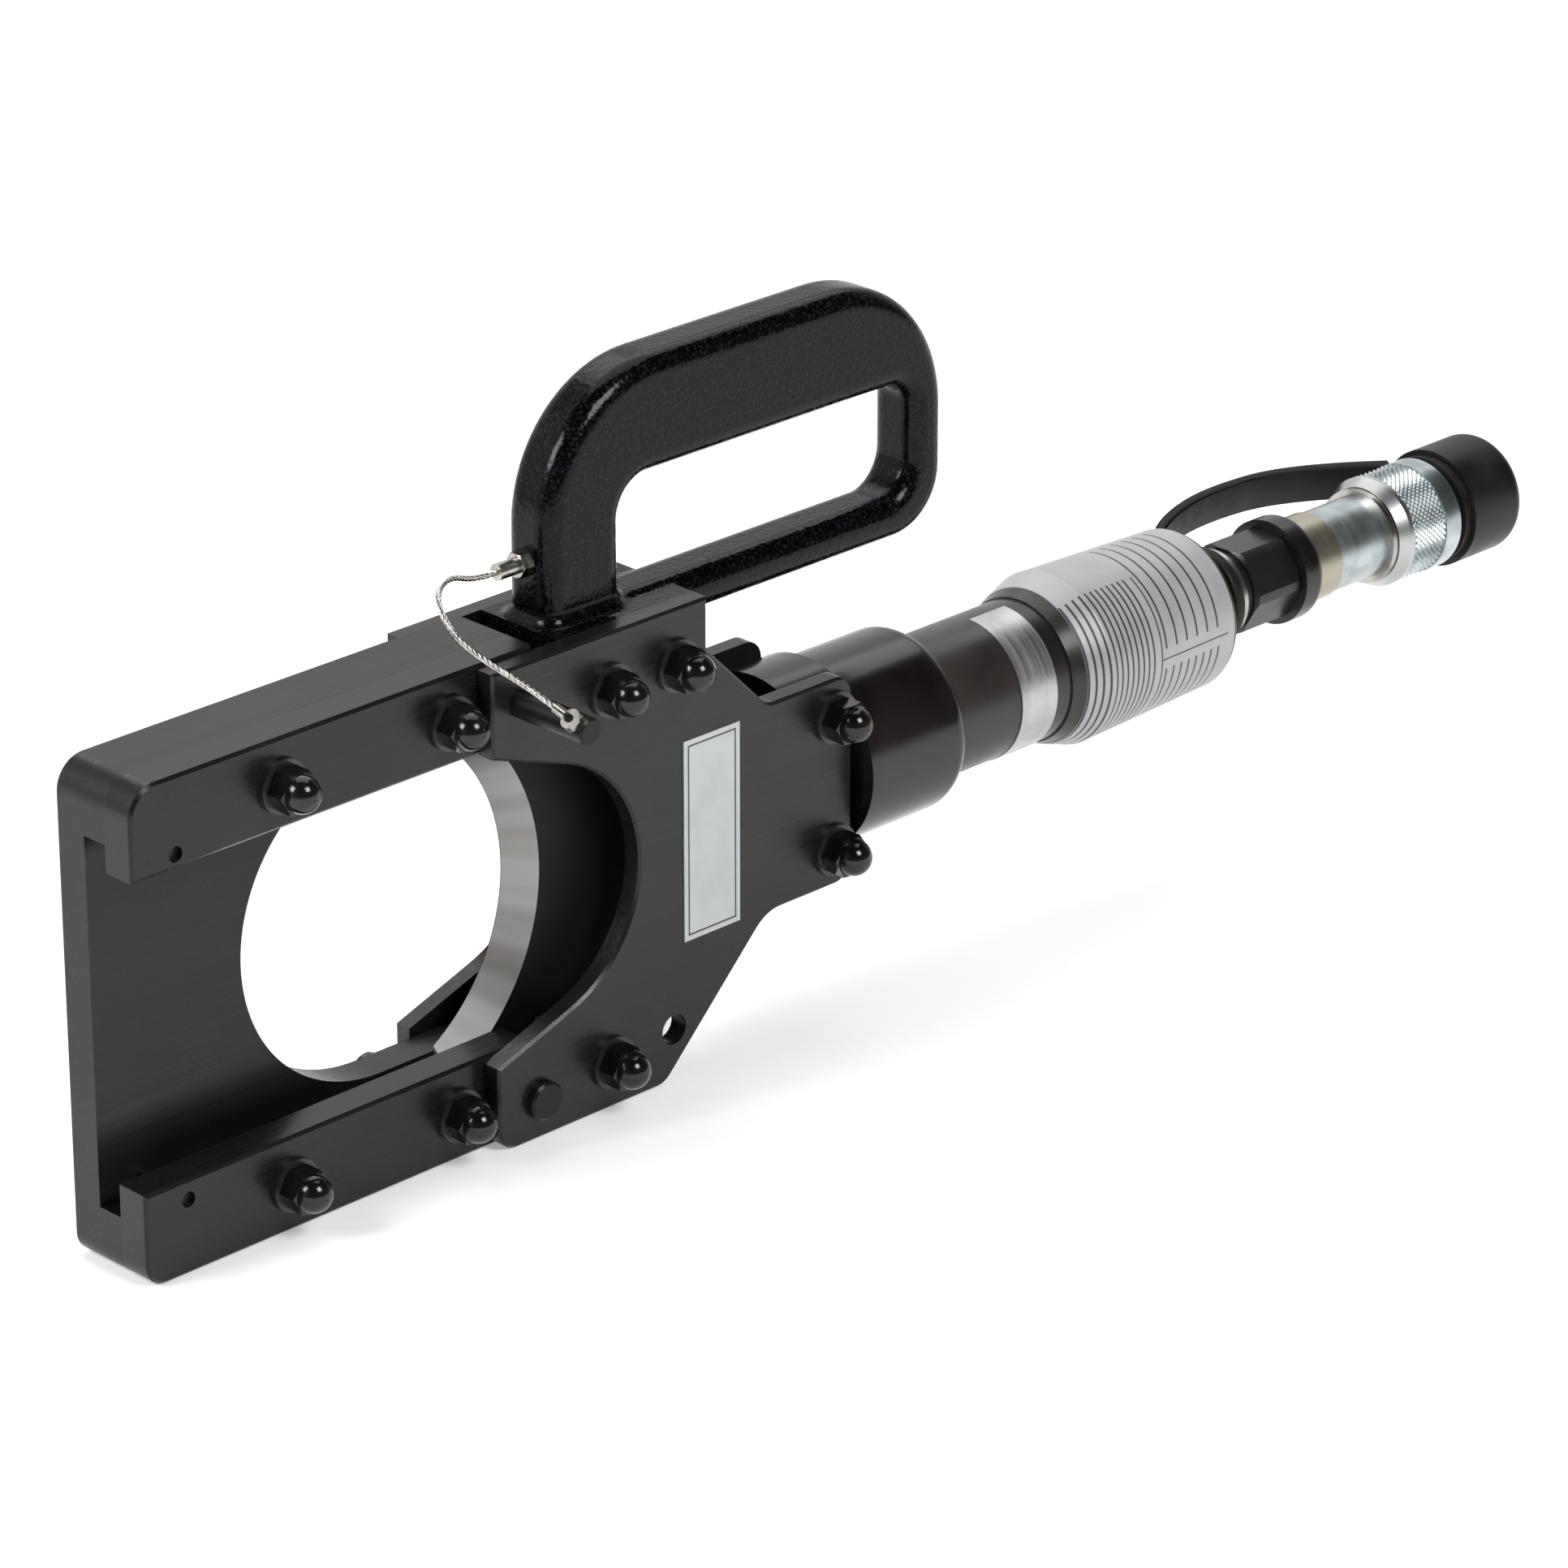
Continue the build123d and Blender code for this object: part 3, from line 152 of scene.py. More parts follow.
@dataclass(frozen=True)
class BlackOxide(Finish):
    """Milled tool steel, blackened and oiled: satin, faintly brown, with cutter lines and rubbed arrises."""

    name: str = "black_oxide_milled_steel"
    dark: str = "#141415"
    light: str = "#1e1c1b"
    rubbed: str = "#4a4642"
    smooth: float = 0.24
    rough: float = 0.36
    cloud: float = 30.0
    # The lines are coarser than a real cutter's, so that they show.
    cutter_line: float = 0.9
    arris: float = 0.9
    patch: float = 7.0
    specular: float = 0.33

    def shade(self, tree: bpy.types.NodeTree) -> bpy.types.Node:
        """Cloud the oil film, draw the cutter lines along X and rub the arrises bright.

        Args:
            tree: the material's node tree.

        Returns:
            The shader node.
        """
        place = add_node(tree, "TexCoord").outputs["Object"]
        cloud = add_node(tree, "TexNoise", inputs={
            "Vector": place, "Scale": per_metre(self.cloud), "Detail": 5.0, "Roughness": 0.62})
        drawn = add_node(tree, "Mapping", inputs={"Vector": place, "Scale": (0.02, 1.0, 1.0)})
        lines = add_node(tree, "TexNoise", inputs={
            "Vector": drawn.outputs[0], "Detail": 3.0, "Scale": per_metre(self.cutter_line)})
        film = add_node(tree, "MapRange", inputs={
            "Value": cloud.outputs["Fac"], "From Min": 0.36, "From Max": 0.66})
        steel = add_node(tree, "Mix", {"data_type": "RGBA"}, {
            0: film.outputs[0], 6: linear(self.dark), 7: linear(self.light)})
        round_normal = add_node(tree, "Bevel", {"samples": 4}, {"Radius": self.arris * MM})
        normal = add_node(tree, "NewGeometry").outputs["Normal"]
        turn = add_node(tree, "VectorMath", {"operation": "DOT_PRODUCT"}, {
            0: round_normal.outputs[0], 1: normal})
        edge = add_node(tree, "MapRange", inputs={
            "Value": turn.outputs["Value"], "From Min": 0.985, "From Max": 0.90})
        patch = add_node(tree, "TexNoise", inputs={
            "Vector": place, "Scale": per_metre(self.patch), "Detail": 4.0})
        worn = add_node(tree, "MapRange", inputs={
            "Value": patch.outputs["Fac"], "From Min": 0.47, "From Max": 0.68, "To Max": 0.2})
        wear = add_node(tree, "Math", {"operation": "MULTIPLY"}, {0: edge.outputs[0], 1: worn.outputs[0]})
        colour = add_node(tree, "Mix", {"data_type": "RGBA"}, {
            0: wear.outputs[0], 6: steel.outputs[2], 7: linear(self.rubbed)})
        gloss = add_node(tree, "MapRange", inputs={
            "Value": lines.outputs["Fac"], "From Min": 0.3, "From Max": 0.7, "To Min": self.smooth,
            "To Max": self.rough})
        bump = add_node(tree, "Bump", inputs={
            "Height": lines.outputs["Fac"], "Strength": 0.03, "Distance": 0.05 * MM})
        return add_node(tree, "BsdfPrincipled", inputs={
            "Base Color": colour.outputs[2], "Roughness": gloss.outputs[0], "Normal": bump.outputs[0],
            "Specular IOR Level": self.specular})


@dataclass(frozen=True)
class GlossBlack(Finish):
    """Black chromate on turned fasteners: near black and glossy, with a thin oil smear."""

    name: str = "black_chromate_fasteners"
    colour: str = "#0d0d0e"
    smear: str = "#141313"
    smear_size: float = 5.0
    # The pits are coarser than real ones, so that they show.
    pit: float = 0.7
    smooth: float = 0.12
    rough: float = 0.22
    specular: float = 0.4
    coat: float = 0.15

    def shade(self, tree: bpy.types.NodeTree) -> bpy.types.Node:
        """Vary the gloss in smears and pit the surface finely.

        Args:
            tree: the material's node tree.

        Returns:
            The shader node.
        """
        place = add_node(tree, "TexCoord").outputs["Object"]
        smear = add_node(tree, "TexNoise", inputs={
            "Vector": place, "Detail": 6.0, "Scale": per_metre(self.smear_size)})
        colour = add_node(tree, "Mix", {"data_type": "RGBA"}, {
            0: smear.outputs["Fac"], 6: linear(self.colour), 7: linear(self.smear)})
        gloss = add_node(tree, "MapRange", inputs={
            "Value": smear.outputs["Fac"], "From Min": 0.35, "From Max": 0.7, "To Min": self.smooth,
            "To Max": self.rough})
        pits = add_node(tree, "TexNoise", inputs={
            "Vector": place, "Scale": per_metre(self.pit), "Detail": 2.0})
        bump = add_node(tree, "Bump", inputs={
            "Height": pits.outputs["Fac"], "Strength": 0.08, "Distance": 0.05 * MM})
        return add_node(tree, "BsdfPrincipled", inputs={
            "Base Color": colour.outputs[2], "Roughness": gloss.outputs[0], "Normal": bump.outputs[0],
            "Specular IOR Level": self.specular, "Coat Weight": self.coat, "Coat Roughness": 0.12})


@dataclass(frozen=True)
class HammeredEnamel(Finish):
    """Stoved hammertone enamel on a casting: blue-black, finely dimpled, speckled in gloss."""

    name: str = "hammertone_enamel_casting"
    deep: str = "#050507"
    speck: str = "#23232b"
    dimple: float = 1.3
    grain: float = 0.8
    smooth: float = 0.10
    rough: float = 0.22

    def shade(self, tree: bpy.types.NodeTree) -> bpy.types.Node:
        """Dimple the coat with soft cells and scatter paler flakes.

        Args:
            tree: the material's node tree.

        Returns:
            The shader node.
        """
        place = add_node(tree, "TexCoord").outputs["Object"]
        cells = add_node(tree, "TexVoronoi", {"feature": "SMOOTH_F1"}, {
            "Vector": place, "Smoothness": 0.7, "Scale": per_metre(self.dimple)})
        grain = add_node(tree, "TexNoise", inputs={
            "Vector": place, "Scale": per_metre(self.grain), "Detail": 3.0})
        flake = add_node(tree, "MapRange", inputs={
            "Value": grain.outputs["Fac"], "From Min": 0.52, "From Max": 0.72})
        colour = add_node(tree, "Mix", {"data_type": "RGBA"}, {
            0: flake.outputs[0], 6: linear(self.deep), 7: linear(self.speck)})
        height = add_node(tree, "Math", {"operation": "MULTIPLY_ADD"}, {
            0: grain.outputs["Fac"], 1: 0.45, 2: cells.outputs["Distance"]})
        bump = add_node(tree, "Bump", inputs={
            "Height": height.outputs[0], "Strength": 0.45, "Distance": 0.2 * MM})
        gloss = add_node(tree, "MapRange", inputs={
            "Value": grain.outputs["Fac"], "From Min": 0.3, "From Max": 0.7, "To Min": self.smooth,
            "To Max": self.rough})
        return add_node(tree, "BsdfPrincipled", inputs={
            "Base Color": colour.outputs[2], "Roughness": gloss.outputs[0], "Normal": bump.outputs[0],
            "Specular IOR Level": 0.10, "Coat Weight": 0.12, "Coat Roughness": 0.1})


@dataclass(frozen=True)
class SatinEnamel(Finish):
    """Brown-black air-dried enamel on turned steel: semi-gloss with faint orange peel and handling marks."""

    name: str = "satin_black_enamel_cylinder"
    deep: str = "#0d0a09"
    warm: str = "#1f1917"
    peel: float = 1.6
    smudge: float = 22.0
    smooth: float = 0.16
    rough: float = 0.26

    def shade(self, tree: bpy.types.NodeTree) -> bpy.types.Node:
        """Smudge the gloss, warm the colour in clouds and ripple the coat.

        Args:
            tree: the material's node tree.

        Returns:
            The shader node.
        """
        place = add_node(tree, "TexCoord").outputs["Object"]
        smudge = add_node(tree, "TexNoise", inputs={
            "Vector": place, "Scale": per_metre(self.smudge), "Detail": 5.0})
        tint = add_node(tree, "MapRange", inputs={
            "Value": smudge.outputs["Fac"], "From Min": 0.35, "From Max": 0.68})
        colour = add_node(tree, "Mix", {"data_type": "RGBA"}, {
            0: tint.outputs[0], 6: linear(self.deep), 7: linear(self.warm)})
        peel = add_node(tree, "TexNoise", inputs={
            "Vector": place, "Scale": per_metre(self.peel), "Detail": 2.0})
        bump = add_node(tree, "Bump", inputs={
            "Height": peel.outputs["Fac"], "Strength": 0.10, "Distance": 0.08 * MM})
        gloss = add_node(tree, "MapRange", inputs={
            "Value": smudge.outputs["Fac"], "From Min": 0.3, "From Max": 0.7, "To Min": self.smooth,
            "To Max": self.rough})
        return add_node(tree, "BsdfPrincipled", inputs={
            "Base Color": colour.outputs[2], "Roughness": gloss.outputs[0], "Normal": bump.outputs[0],
            "Specular IOR Level": 0.45, "Coat Weight": 0.1, "Coat Roughness": 0.14})


@dataclass(frozen=True)
class GroundBlade(Finish):
    """Hardened blade steel: a scaled brown-black body, darkened further as painted shade from the cheeks, and
    a bright bevel ground across in fine lines.
    """

    name: str = "hardened_blade_steel"
    scale_and_painted_shade: str = "#0c0a09"
    # The body's two colours are the blade's scale, darkened further as painted shade from the cheeks.
    scale_and_painted_shade_light: str = "#1b1714"
    ground: str = "#b9b9ba"
    ground_dark: str = "#8b8681"
    edge_centre: float = -7.9
    bevel_top: float = 53.9
    rear_face: float = 3.6
    # The lines are coarser than a real grinding wheel's, so that they show.
    grit: float = 0.6
    bands: float = 3.2
    crust: float = 9.0
    body_rough: float = 0.45
    bevel_rough: float = 0.50

    def shade(self, tree: bpy.types.NodeTree) -> bpy.types.Node:
        """Tell the ground bevel from the scaled body by the distance from the edge's centre.

        Args:
            tree: the material's node tree.

        Returns:
            The shader node.
        """
        place = add_node(tree, "TexCoord").outputs["Object"]
        moved = add_node(tree, "Mapping", {"vector_type": "POINT"}, {
            "Vector": place, "Location": (-self.edge_centre * MM, 0.0, -AXIS_Z * MM)})
        split = add_node(tree, "SeparateXYZ", inputs={0: moved.outputs[0]})
        flat = add_node(tree, "CombineXYZ", inputs={0: split.outputs[0], 2: split.outputs[2]})
        reach = add_node(tree, "VectorMath", {"operation": "LENGTH"}, {0: flat.outputs[0]})
        inside = add_node(tree, "Math", {"operation": "LESS_THAN"}, {
            0: reach.outputs["Value"], 1: self.bevel_top * MM})
        front = add_node(tree, "Math", {"operation": "LESS_THAN"}, {
            0: split.outputs[1], 1: self.rear_face * MM})
        bevel = add_node(tree, "Math", {"operation": "MULTIPLY"}, {0: inside.outputs[0], 1: front.outputs[0]})
        angle = add_node(tree, "Math", {"operation": "ARCTAN2"}, {0: split.outputs[2], 1: split.outputs[0]})
        around = add_node(tree, "CombineXYZ", inputs={0: angle.outputs[0]})
        lines = add_node(tree, "TexNoise", inputs={
            "Vector": around.outputs[0], "Detail": 6.0, "Roughness": 0.7,
            "Scale": self.bevel_top / self.grit})
        bands = add_node(tree, "TexNoise", inputs={
            "Vector": around.outputs[0], "Detail": 2.0, "Scale": self.bands})
        bright = add_node(tree, "MapRange", inputs={
            "Value": bands.outputs["Fac"], "From Min": 0.34, "From Max": 0.62})
        ground = add_node(tree, "Mix", {"data_type": "RGBA"}, {
            0: bright.outputs[0], 6: linear(self.ground_dark), 7: linear(self.ground)})
        crust = add_node(tree, "TexNoise", inputs={
            "Vector": place, "Scale": per_metre(self.crust), "Detail": 7.0})
        body = add_node(tree, "Mix", {"data_type": "RGBA"}, {
            0: crust.outputs["Fac"], 6: linear(self.scale_and_painted_shade), 7: linear(self.scale_and_painted_shade_light)})
        colour = add_node(tree, "Mix", {"data_type": "RGBA"}, {
            0: bevel.outputs[0], 6: body.outputs[2], 7: ground.outputs[2]})
        metal = add_node(tree, "MapRange", inputs={"Value": bevel.outputs[0], "To Min": 0.2, "To Max": 1.0})
        gloss = add_node(tree, "MapRange", inputs={
            "Value": bevel.outputs[0], "To Min": self.body_rough, "To Max": self.bevel_rough})
        bump = add_node(tree, "Bump", inputs={
            "Height": lines.outputs["Fac"], "Strength": 0.12, "Distance": 0.06 * MM})
        return add_node(tree, "BsdfPrincipled", inputs={
            "Base Color": colour.outputs[2], "Metallic": metal.outputs[0], "Roughness": gloss.outputs[0],
            "Normal": bump.outputs[0], "Specular IOR Level": 0.2})


@dataclass(frozen=True)
class TurnedMetal(Finish):
    """Bare or plated metal turned on a lathe: bright, with fine rings across the tool's axis."""

    name: str = "turned_metal"
    colour: str = "#c2cacb"
    shadow: str = "#a0a9ac"
    # The rings are coarser than a real turning tool's, so that they show.
    ring: float = 0.5
    smooth: float = 0.16
    rough: float = 0.30
    bloom: float = 6.0

    def shade(self, tree: bpy.types.NodeTree) -> bpy.types.Node:
        """Ring the gloss along X and bloom the colour.

        Args:
            tree: the material's node tree.

        Returns:
            The shader node.
        """
        place = add_node(tree, "TexCoord").outputs["Object"]
        along = add_node(tree, "Mapping", inputs={"Vector": place, "Scale": (1.0, 0.01, 0.01)})
        rings = add_node(tree, "TexNoise", inputs={
            "Vector": along.outputs[0], "Scale": per_metre(self.ring), "Detail": 3.0})
        bloom = add_node(tree, "TexNoise", inputs={
            "Vector": place, "Scale": per_metre(self.bloom), "Detail": 4.0})
        tint = self.tint(tree, place, bloom.outputs["Fac"])
        gloss = add_node(tree, "MapRange", inputs={
            "Value": rings.outputs["Fac"], "From Min": 0.3, "From Max": 0.7, "To Min": self.smooth,
            "To Max": self.rough})
        bump = add_node(tree, "Bump", inputs={
            "Height": rings.outputs["Fac"], "Strength": 0.03, "Distance": 0.04 * MM})
        return add_node(tree, "BsdfPrincipled", inputs={
            "Base Color": tint, "Metallic": 1.0, "Roughness": gloss.outputs[0], "Normal": bump.outputs[0]})

    def tint(self, tree: bpy.types.NodeTree, place: bpy.types.NodeSocket,
             bloom: bpy.types.NodeSocket) -> bpy.types.NodeSocket:
        """Mix the metal's two tones by its bloom.

        Args:
            tree: the material's node tree.
            place: Object coordinates; not used here.
            bloom: the cloud that mixes the tones.

        Returns:
            The colour output.
        """
        share = add_node(tree, "MapRange", inputs={"Value": bloom, "From Min": 0.35, "From Max": 0.65})
        mixed = add_node(tree, "Mix", {"data_type": "RGBA"}, {
            0: share.outputs[0], 6: linear(self.shadow), 7: linear(self.colour)})
        return mixed.outputs[2]


@dataclass(frozen=True)
class PassivatedCoupler(TurnedMetal):
    """Zinc plate on the coupler: blue passivated body behind a collar whose chromate has turned yellow."""

    name: str = "zinc_plated_coupler_body"
    yellow: str = "#aea898"
    collar_end: float = 332.9

    def tint(self, tree: bpy.types.NodeTree, place: bpy.types.NodeSocket,
             bloom: bpy.types.NodeSocket) -> bpy.types.NodeSocket:
        """Yellow the collar and leave the body blue-white.

        Args:
            tree: the material's node tree.
            place: Object coordinates.
            bloom: the cloud that mixes the tones.

        Returns:
            The colour output.
        """
        blue = super().tint(tree, place, bloom)
        split = add_node(tree, "SeparateXYZ", inputs={0: place})
        collar = add_node(tree, "Math", {"operation": "LESS_THAN"}, {
            0: split.outputs[0], 1: self.collar_end * MM})
        mixed = add_node(tree, "Mix", {"data_type": "RGBA"}, {
            0: collar.outputs[0], 6: blue, 7: linear(self.yellow)})
        return mixed.outputs[2]


@dataclass(frozen=True)
class RuleBlock:
    """A block of plain rules on the foil: its ends along X in mm, its sides in degrees from the front."""

    first: float
    last: float
    low: float
    high: float
    pitch: float
    rule: float = 0.65

    def ink(self, tree: bpy.types.NodeTree, along: bpy.types.NodeSocket,
            angle: bpy.types.NodeSocket) -> bpy.types.NodeSocket:
        """Draw the block's rules.

        Args:
            tree: the material's node tree.
            along: the place along X, in metres.
            angle: the angle round the axis, in radians.

        Returns:
            The output that is one on a rule.
        """
        steps = add_node(tree, "Math", {"operation": "MULTIPLY_ADD"}, {
            0: along, 1: per_metre(self.pitch), 2: -self.first / self.pitch})
        share = add_node(tree, "Math", {"operation": "FRACT"}, {0: steps.outputs[0]})
        mask = add_node(tree, "Math", {"operation": "LESS_THAN"}, {
            0: share.outputs[0], 1: self.rule / self.pitch})
        middle_x, half_x = (self.first + self.last) / 2 * MM, (self.last - self.first) / 2 * MM
        middle, half = math.radians((self.low + self.high) / 2), math.radians((self.high - self.low) / 2)
        for value, centre, reach in ((along, middle_x, half_x), (angle, middle, half)):
            inside = add_node(tree, "Math", {"operation": "COMPARE"}, {0: value, 1: centre, 2: reach})
            mask = add_node(tree, "Math", {"operation": "MULTIPLY"}, {
                0: mask.outputs[0], 1: inside.outputs[0]})
        return mask.outputs[0]


@dataclass(frozen=True)
class RuledFoil(Finish):
    """Self-adhesive silver foil round the cylinder: pale, lightly creased, with plain printed rules."""

    name: str = "silver_foil_ruled"
    silver: str = "#b8b7ba"
    dull: str = "#9e9da0"
    ink: str = "#3a393d"
    crease: float = 9.0
    smooth: float = 0.34
    rough: float = 0.50
    blocks: tuple[RuleBlock, ...] = (
        RuleBlock(222.5, 247.0, -95.0, 62.0, 2.1), RuleBlock(250.5, 273.5, -95.0, -6.0, 3.0),
        RuleBlock(250.5, 273.5, 8.0, 104.0, 4.1), RuleBlock(248.7, 249.2, -95.0, 62.0, 2.0),
        RuleBlock(249.2, 275.5, 0.5, 1.5, 100.0, 99.0))

    def shade(self, tree: bpy.types.NodeTree) -> bpy.types.Node:
        """Rule the wrap in blocks and crease the foil.

        Args:
            tree: the material's node tree.

        Returns:
            The shader node.
        """
        place = add_node(tree, "TexCoord").outputs["Object"]
        split = add_node(tree, "SeparateXYZ", inputs={0: place})
        height = add_node(tree, "Math", {"operation": "SUBTRACT"}, {0: split.outputs[2], 1: AXIS_Z * MM})
        front = add_node(tree, "Math", {"operation": "MULTIPLY"}, {0: split.outputs[1], 1: -1.0})
        angle = add_node(tree, "Math", {"operation": "ARCTAN2"}, {0: height.outputs[0], 1: front.outputs[0]})
        crease = add_node(tree, "TexNoise", inputs={
            "Vector": place, "Scale": per_metre(self.crease), "Detail": 4.0})
        colour = add_node(tree, "Mix", {"data_type": "RGBA"}, {
            0: crease.outputs["Fac"], 6: linear(self.dull), 7: linear(self.silver)})
        for block in self.blocks:
            rules = block.ink(tree, split.outputs[0], angle.outputs[0])
            colour = add_node(tree, "Mix", {"data_type": "RGBA"}, {
                0: rules, 6: colour.outputs[2], 7: linear(self.ink)})
        gloss = add_node(tree, "MapRange", inputs={
            "Value": crease.outputs["Fac"], "From Min": 0.3, "From Max": 0.7, "To Min": self.smooth,
            "To Max": self.rough})
        bump = add_node(tree, "Bump", inputs={
            "Height": crease.outputs["Fac"], "Strength": 0.10, "Distance": 0.3 * MM})
        return add_node(tree, "BsdfPrincipled", inputs={
            "Base Color": colour.outputs[2], "Metallic": 0.15, "Roughness": gloss.outputs[0],
            "Normal": bump.outputs[0]})


@dataclass(frozen=True)
class BlankLabel(Finish):
    """Pale vinyl label left blank inside a thin grey keyline: soft sheen, slightly scuffed."""

    name: str = "pale_vinyl_label"
    white: str = "#bbbec0"
    scuff: str = "#b0b3b4"
    line: str = "#3a3a3c"
    centre_x: float = 90.0
    half_x: float = 9.5
    half_z: float = 26.75
    inset: float = 1.3
    width: float = 0.5
    scuff_size: float = 11.0

    def shade(self, tree: bpy.types.NodeTree) -> bpy.types.Node:
        """Draw the keyline by the distance from the label's edge.

        Args:
            tree: the material's node tree.

        Returns:
            The shader node.
        """
        place = add_node(tree, "TexCoord").outputs["Object"]
        moved = add_node(tree, "Mapping", inputs={
            "Vector": place, "Location": (-self.centre_x * MM, 0.0, -AXIS_Z * MM)})
        size = add_node(tree, "VectorMath", {"operation": "ABSOLUTE"}, {0: moved.outputs[0]})
        split = add_node(tree, "SeparateXYZ", inputs={0: size.outputs[0]})
        side = add_node(tree, "Math", {"operation": "SUBTRACT"}, {0: self.half_x * MM, 1: split.outputs[0]})
        end = add_node(tree, "Math", {"operation": "SUBTRACT"}, {0: self.half_z * MM, 1: split.outputs[2]})
        edge = add_node(tree, "Math", {"operation": "MINIMUM"}, {0: side.outputs[0], 1: end.outputs[0]})
        key = add_node(tree, "Math", {"operation": "COMPARE"}, {
            0: edge.outputs[0], 1: (self.inset + self.width / 2) * MM, 2: self.width / 2 * MM})
        scuff = add_node(tree, "TexNoise", inputs={
            "Vector": place, "Detail": 6.0, "Scale": per_metre(self.scuff_size)})
        mark = add_node(tree, "MapRange", inputs={
            "Value": scuff.outputs["Fac"], "From Min": 0.5, "From Max": 0.75})
        vinyl = add_node(tree, "Mix", {"data_type": "RGBA"}, {
            0: mark.outputs[0], 6: linear(self.white), 7: linear(self.scuff)})
        colour = add_node(tree, "Mix", {"data_type": "RGBA"}, {
            0: key.outputs[0], 6: vinyl.outputs[2], 7: linear(self.line)})
        bump = add_node(tree, "Bump", inputs={
            "Height": scuff.outputs["Fac"], "Strength": 0.05, "Distance": 0.1 * MM})
        return add_node(tree, "BsdfPrincipled", inputs={
            "Base Color": colour.outputs[2], "Roughness": 0.38, "Normal": bump.outputs[0]})


@dataclass(frozen=True)
class MouldedRubber(Finish):
    """Moulded black rubber: matt, dusty in patches, with a fine moulded grain."""

    name: str = "moulded_black_rubber"
    deep: str = "#0f0e0d"
    dusty: str = "#1f1c1b"
    # The grain is coarser than a real mould's, so that it shows.
    grain: float = 0.9
    dust: float = 8.0
    smooth: float = 0.48
    rough: float = 0.66

    def shade(self, tree: bpy.types.NodeTree) -> bpy.types.Node:
        """Dust the colour and grain the surface.

        Args:
            tree: the material's node tree.

        Returns:
            The shader node.
        """
        place = add_node(tree, "TexCoord").outputs["Object"]
        dust = add_node(tree, "TexNoise", inputs={
            "Vector": place, "Scale": per_metre(self.dust), "Detail": 6.0})
        share = add_node(tree, "MapRange", inputs={
            "Value": dust.outputs["Fac"], "From Min": 0.38, "From Max": 0.7})
        colour = add_node(tree, "Mix", {"data_type": "RGBA"}, {
            0: share.outputs[0], 6: linear(self.deep), 7: linear(self.dusty)})
        grain = add_node(tree, "TexNoise", inputs={
            "Vector": place, "Scale": per_metre(self.grain), "Detail": 3.0})
        bump = add_node(tree, "Bump", inputs={
            "Height": grain.outputs["Fac"], "Strength": 0.18, "Distance": 0.1 * MM})
        gloss = add_node(tree, "MapRange", inputs={
            "Value": share.outputs[0], "To Min": self.smooth, "To Max": self.rough})
        return add_node(tree, "BsdfPrincipled", inputs={
            "Base Color": colour.outputs[2], "Roughness": gloss.outputs[0], "Normal": bump.outputs[0],
            "Specular IOR Level": 0.3})


@dataclass(frozen=True)
class LightTable(Finish):
    """Matt white acrylic under the object, lit softly from below."""

    name: str = "white_acrylic_light_table"
    white: str = "#f6f6f5"
    haze: str = "#f1f1f0"
    haze_size: float = 40.0
    glow: float = 0.35

    def shade(self, tree: bpy.types.NodeTree) -> bpy.types.Node:
        """Give the acrylic a haze too faint to read.

        Args:
            tree: the material's node tree.

        Returns:
            The shader node.
        """
        place = add_node(tree, "TexCoord").outputs["Object"]
        haze = add_node(tree, "TexNoise", inputs={
            "Vector": place, "Scale": per_metre(self.haze_size), "Detail": 2.0})
        colour = add_node(tree, "Mix", {"data_type": "RGBA"}, {
            0: haze.outputs["Fac"], 6: linear(self.white), 7: linear(self.haze)})
        return add_node(tree, "BsdfPrincipled", inputs={
            "Base Color": colour.outputs[2], "Roughness": 0.9, "Specular IOR Level": 0.1,
            "Emission Color": linear(self.white), "Emission Strength": self.glow})


# Blackened steels: the cheeks catch more light than the frame, the rails are smoother, the spacers darker as
# painted shade for their place between the plates.
PLATE_STEEL = BlackOxide(specular=0.29)
CHEEK_STEEL = BlackOxide(name="black_oxide_cheek_plate", specular=0.36)
RAIL_STEEL = BlackOxide(name="black_oxide_ground_rail", dark="#111112", light="#191817", smooth=0.22,
                        rough=0.33)
# The spacers' darker colours are painted shade, standing in for their place between the plates.
SPACER_PAINTED_SHADE_STEEL = BlackOxide(name="black_oxide_spacer_painted_shade", dark="#0d0d0d", light="#161514", smooth=0.28, rough=0.42)
# Fasteners: glossy dome nuts, greyer matt washers, and drawn pins with a satin skin.
FASTENER = GlossBlack()
WASHER = GlossBlack(name="black_phosphate_washer", colour="#1d1c1c", smear="#2b2a29", smooth=0.26, rough=0.40,
                    specular=0.6, coat=0.0)
PIN_BLACK = GlossBlack(name="black_oxide_drawn_pin", colour="#131212", smear="#1d1b1b", smear_size=3.0,
                       smooth=0.28, rough=0.40, specular=0.22, coat=0.0)
# Enamels: a speckled casting, a semi-gloss collar, a barrel rubbed dull by handling with its colour lightened
# as painted reflection, and a satin hex.
CASTING = HammeredEnamel()
ENAMEL = SatinEnamel()
# The barrel's and rear cylinder's paler colours are painted reflection; their rougher gloss is real wear from
# handling.
BARREL_ENAMEL_PAINTED_REFLECTION = SatinEnamel(name="rubbed_black_enamel_barrel_painted_reflection", deep="#1d1a19", warm="#2d2623", smooth=0.30,
                            rough=0.44)
ADAPTER_ENAMEL = SatinEnamel(name="black_enamel_hex_adapter", deep="#0d0c0c", warm="#1b1918", smooth=0.22,
                             rough=0.36)
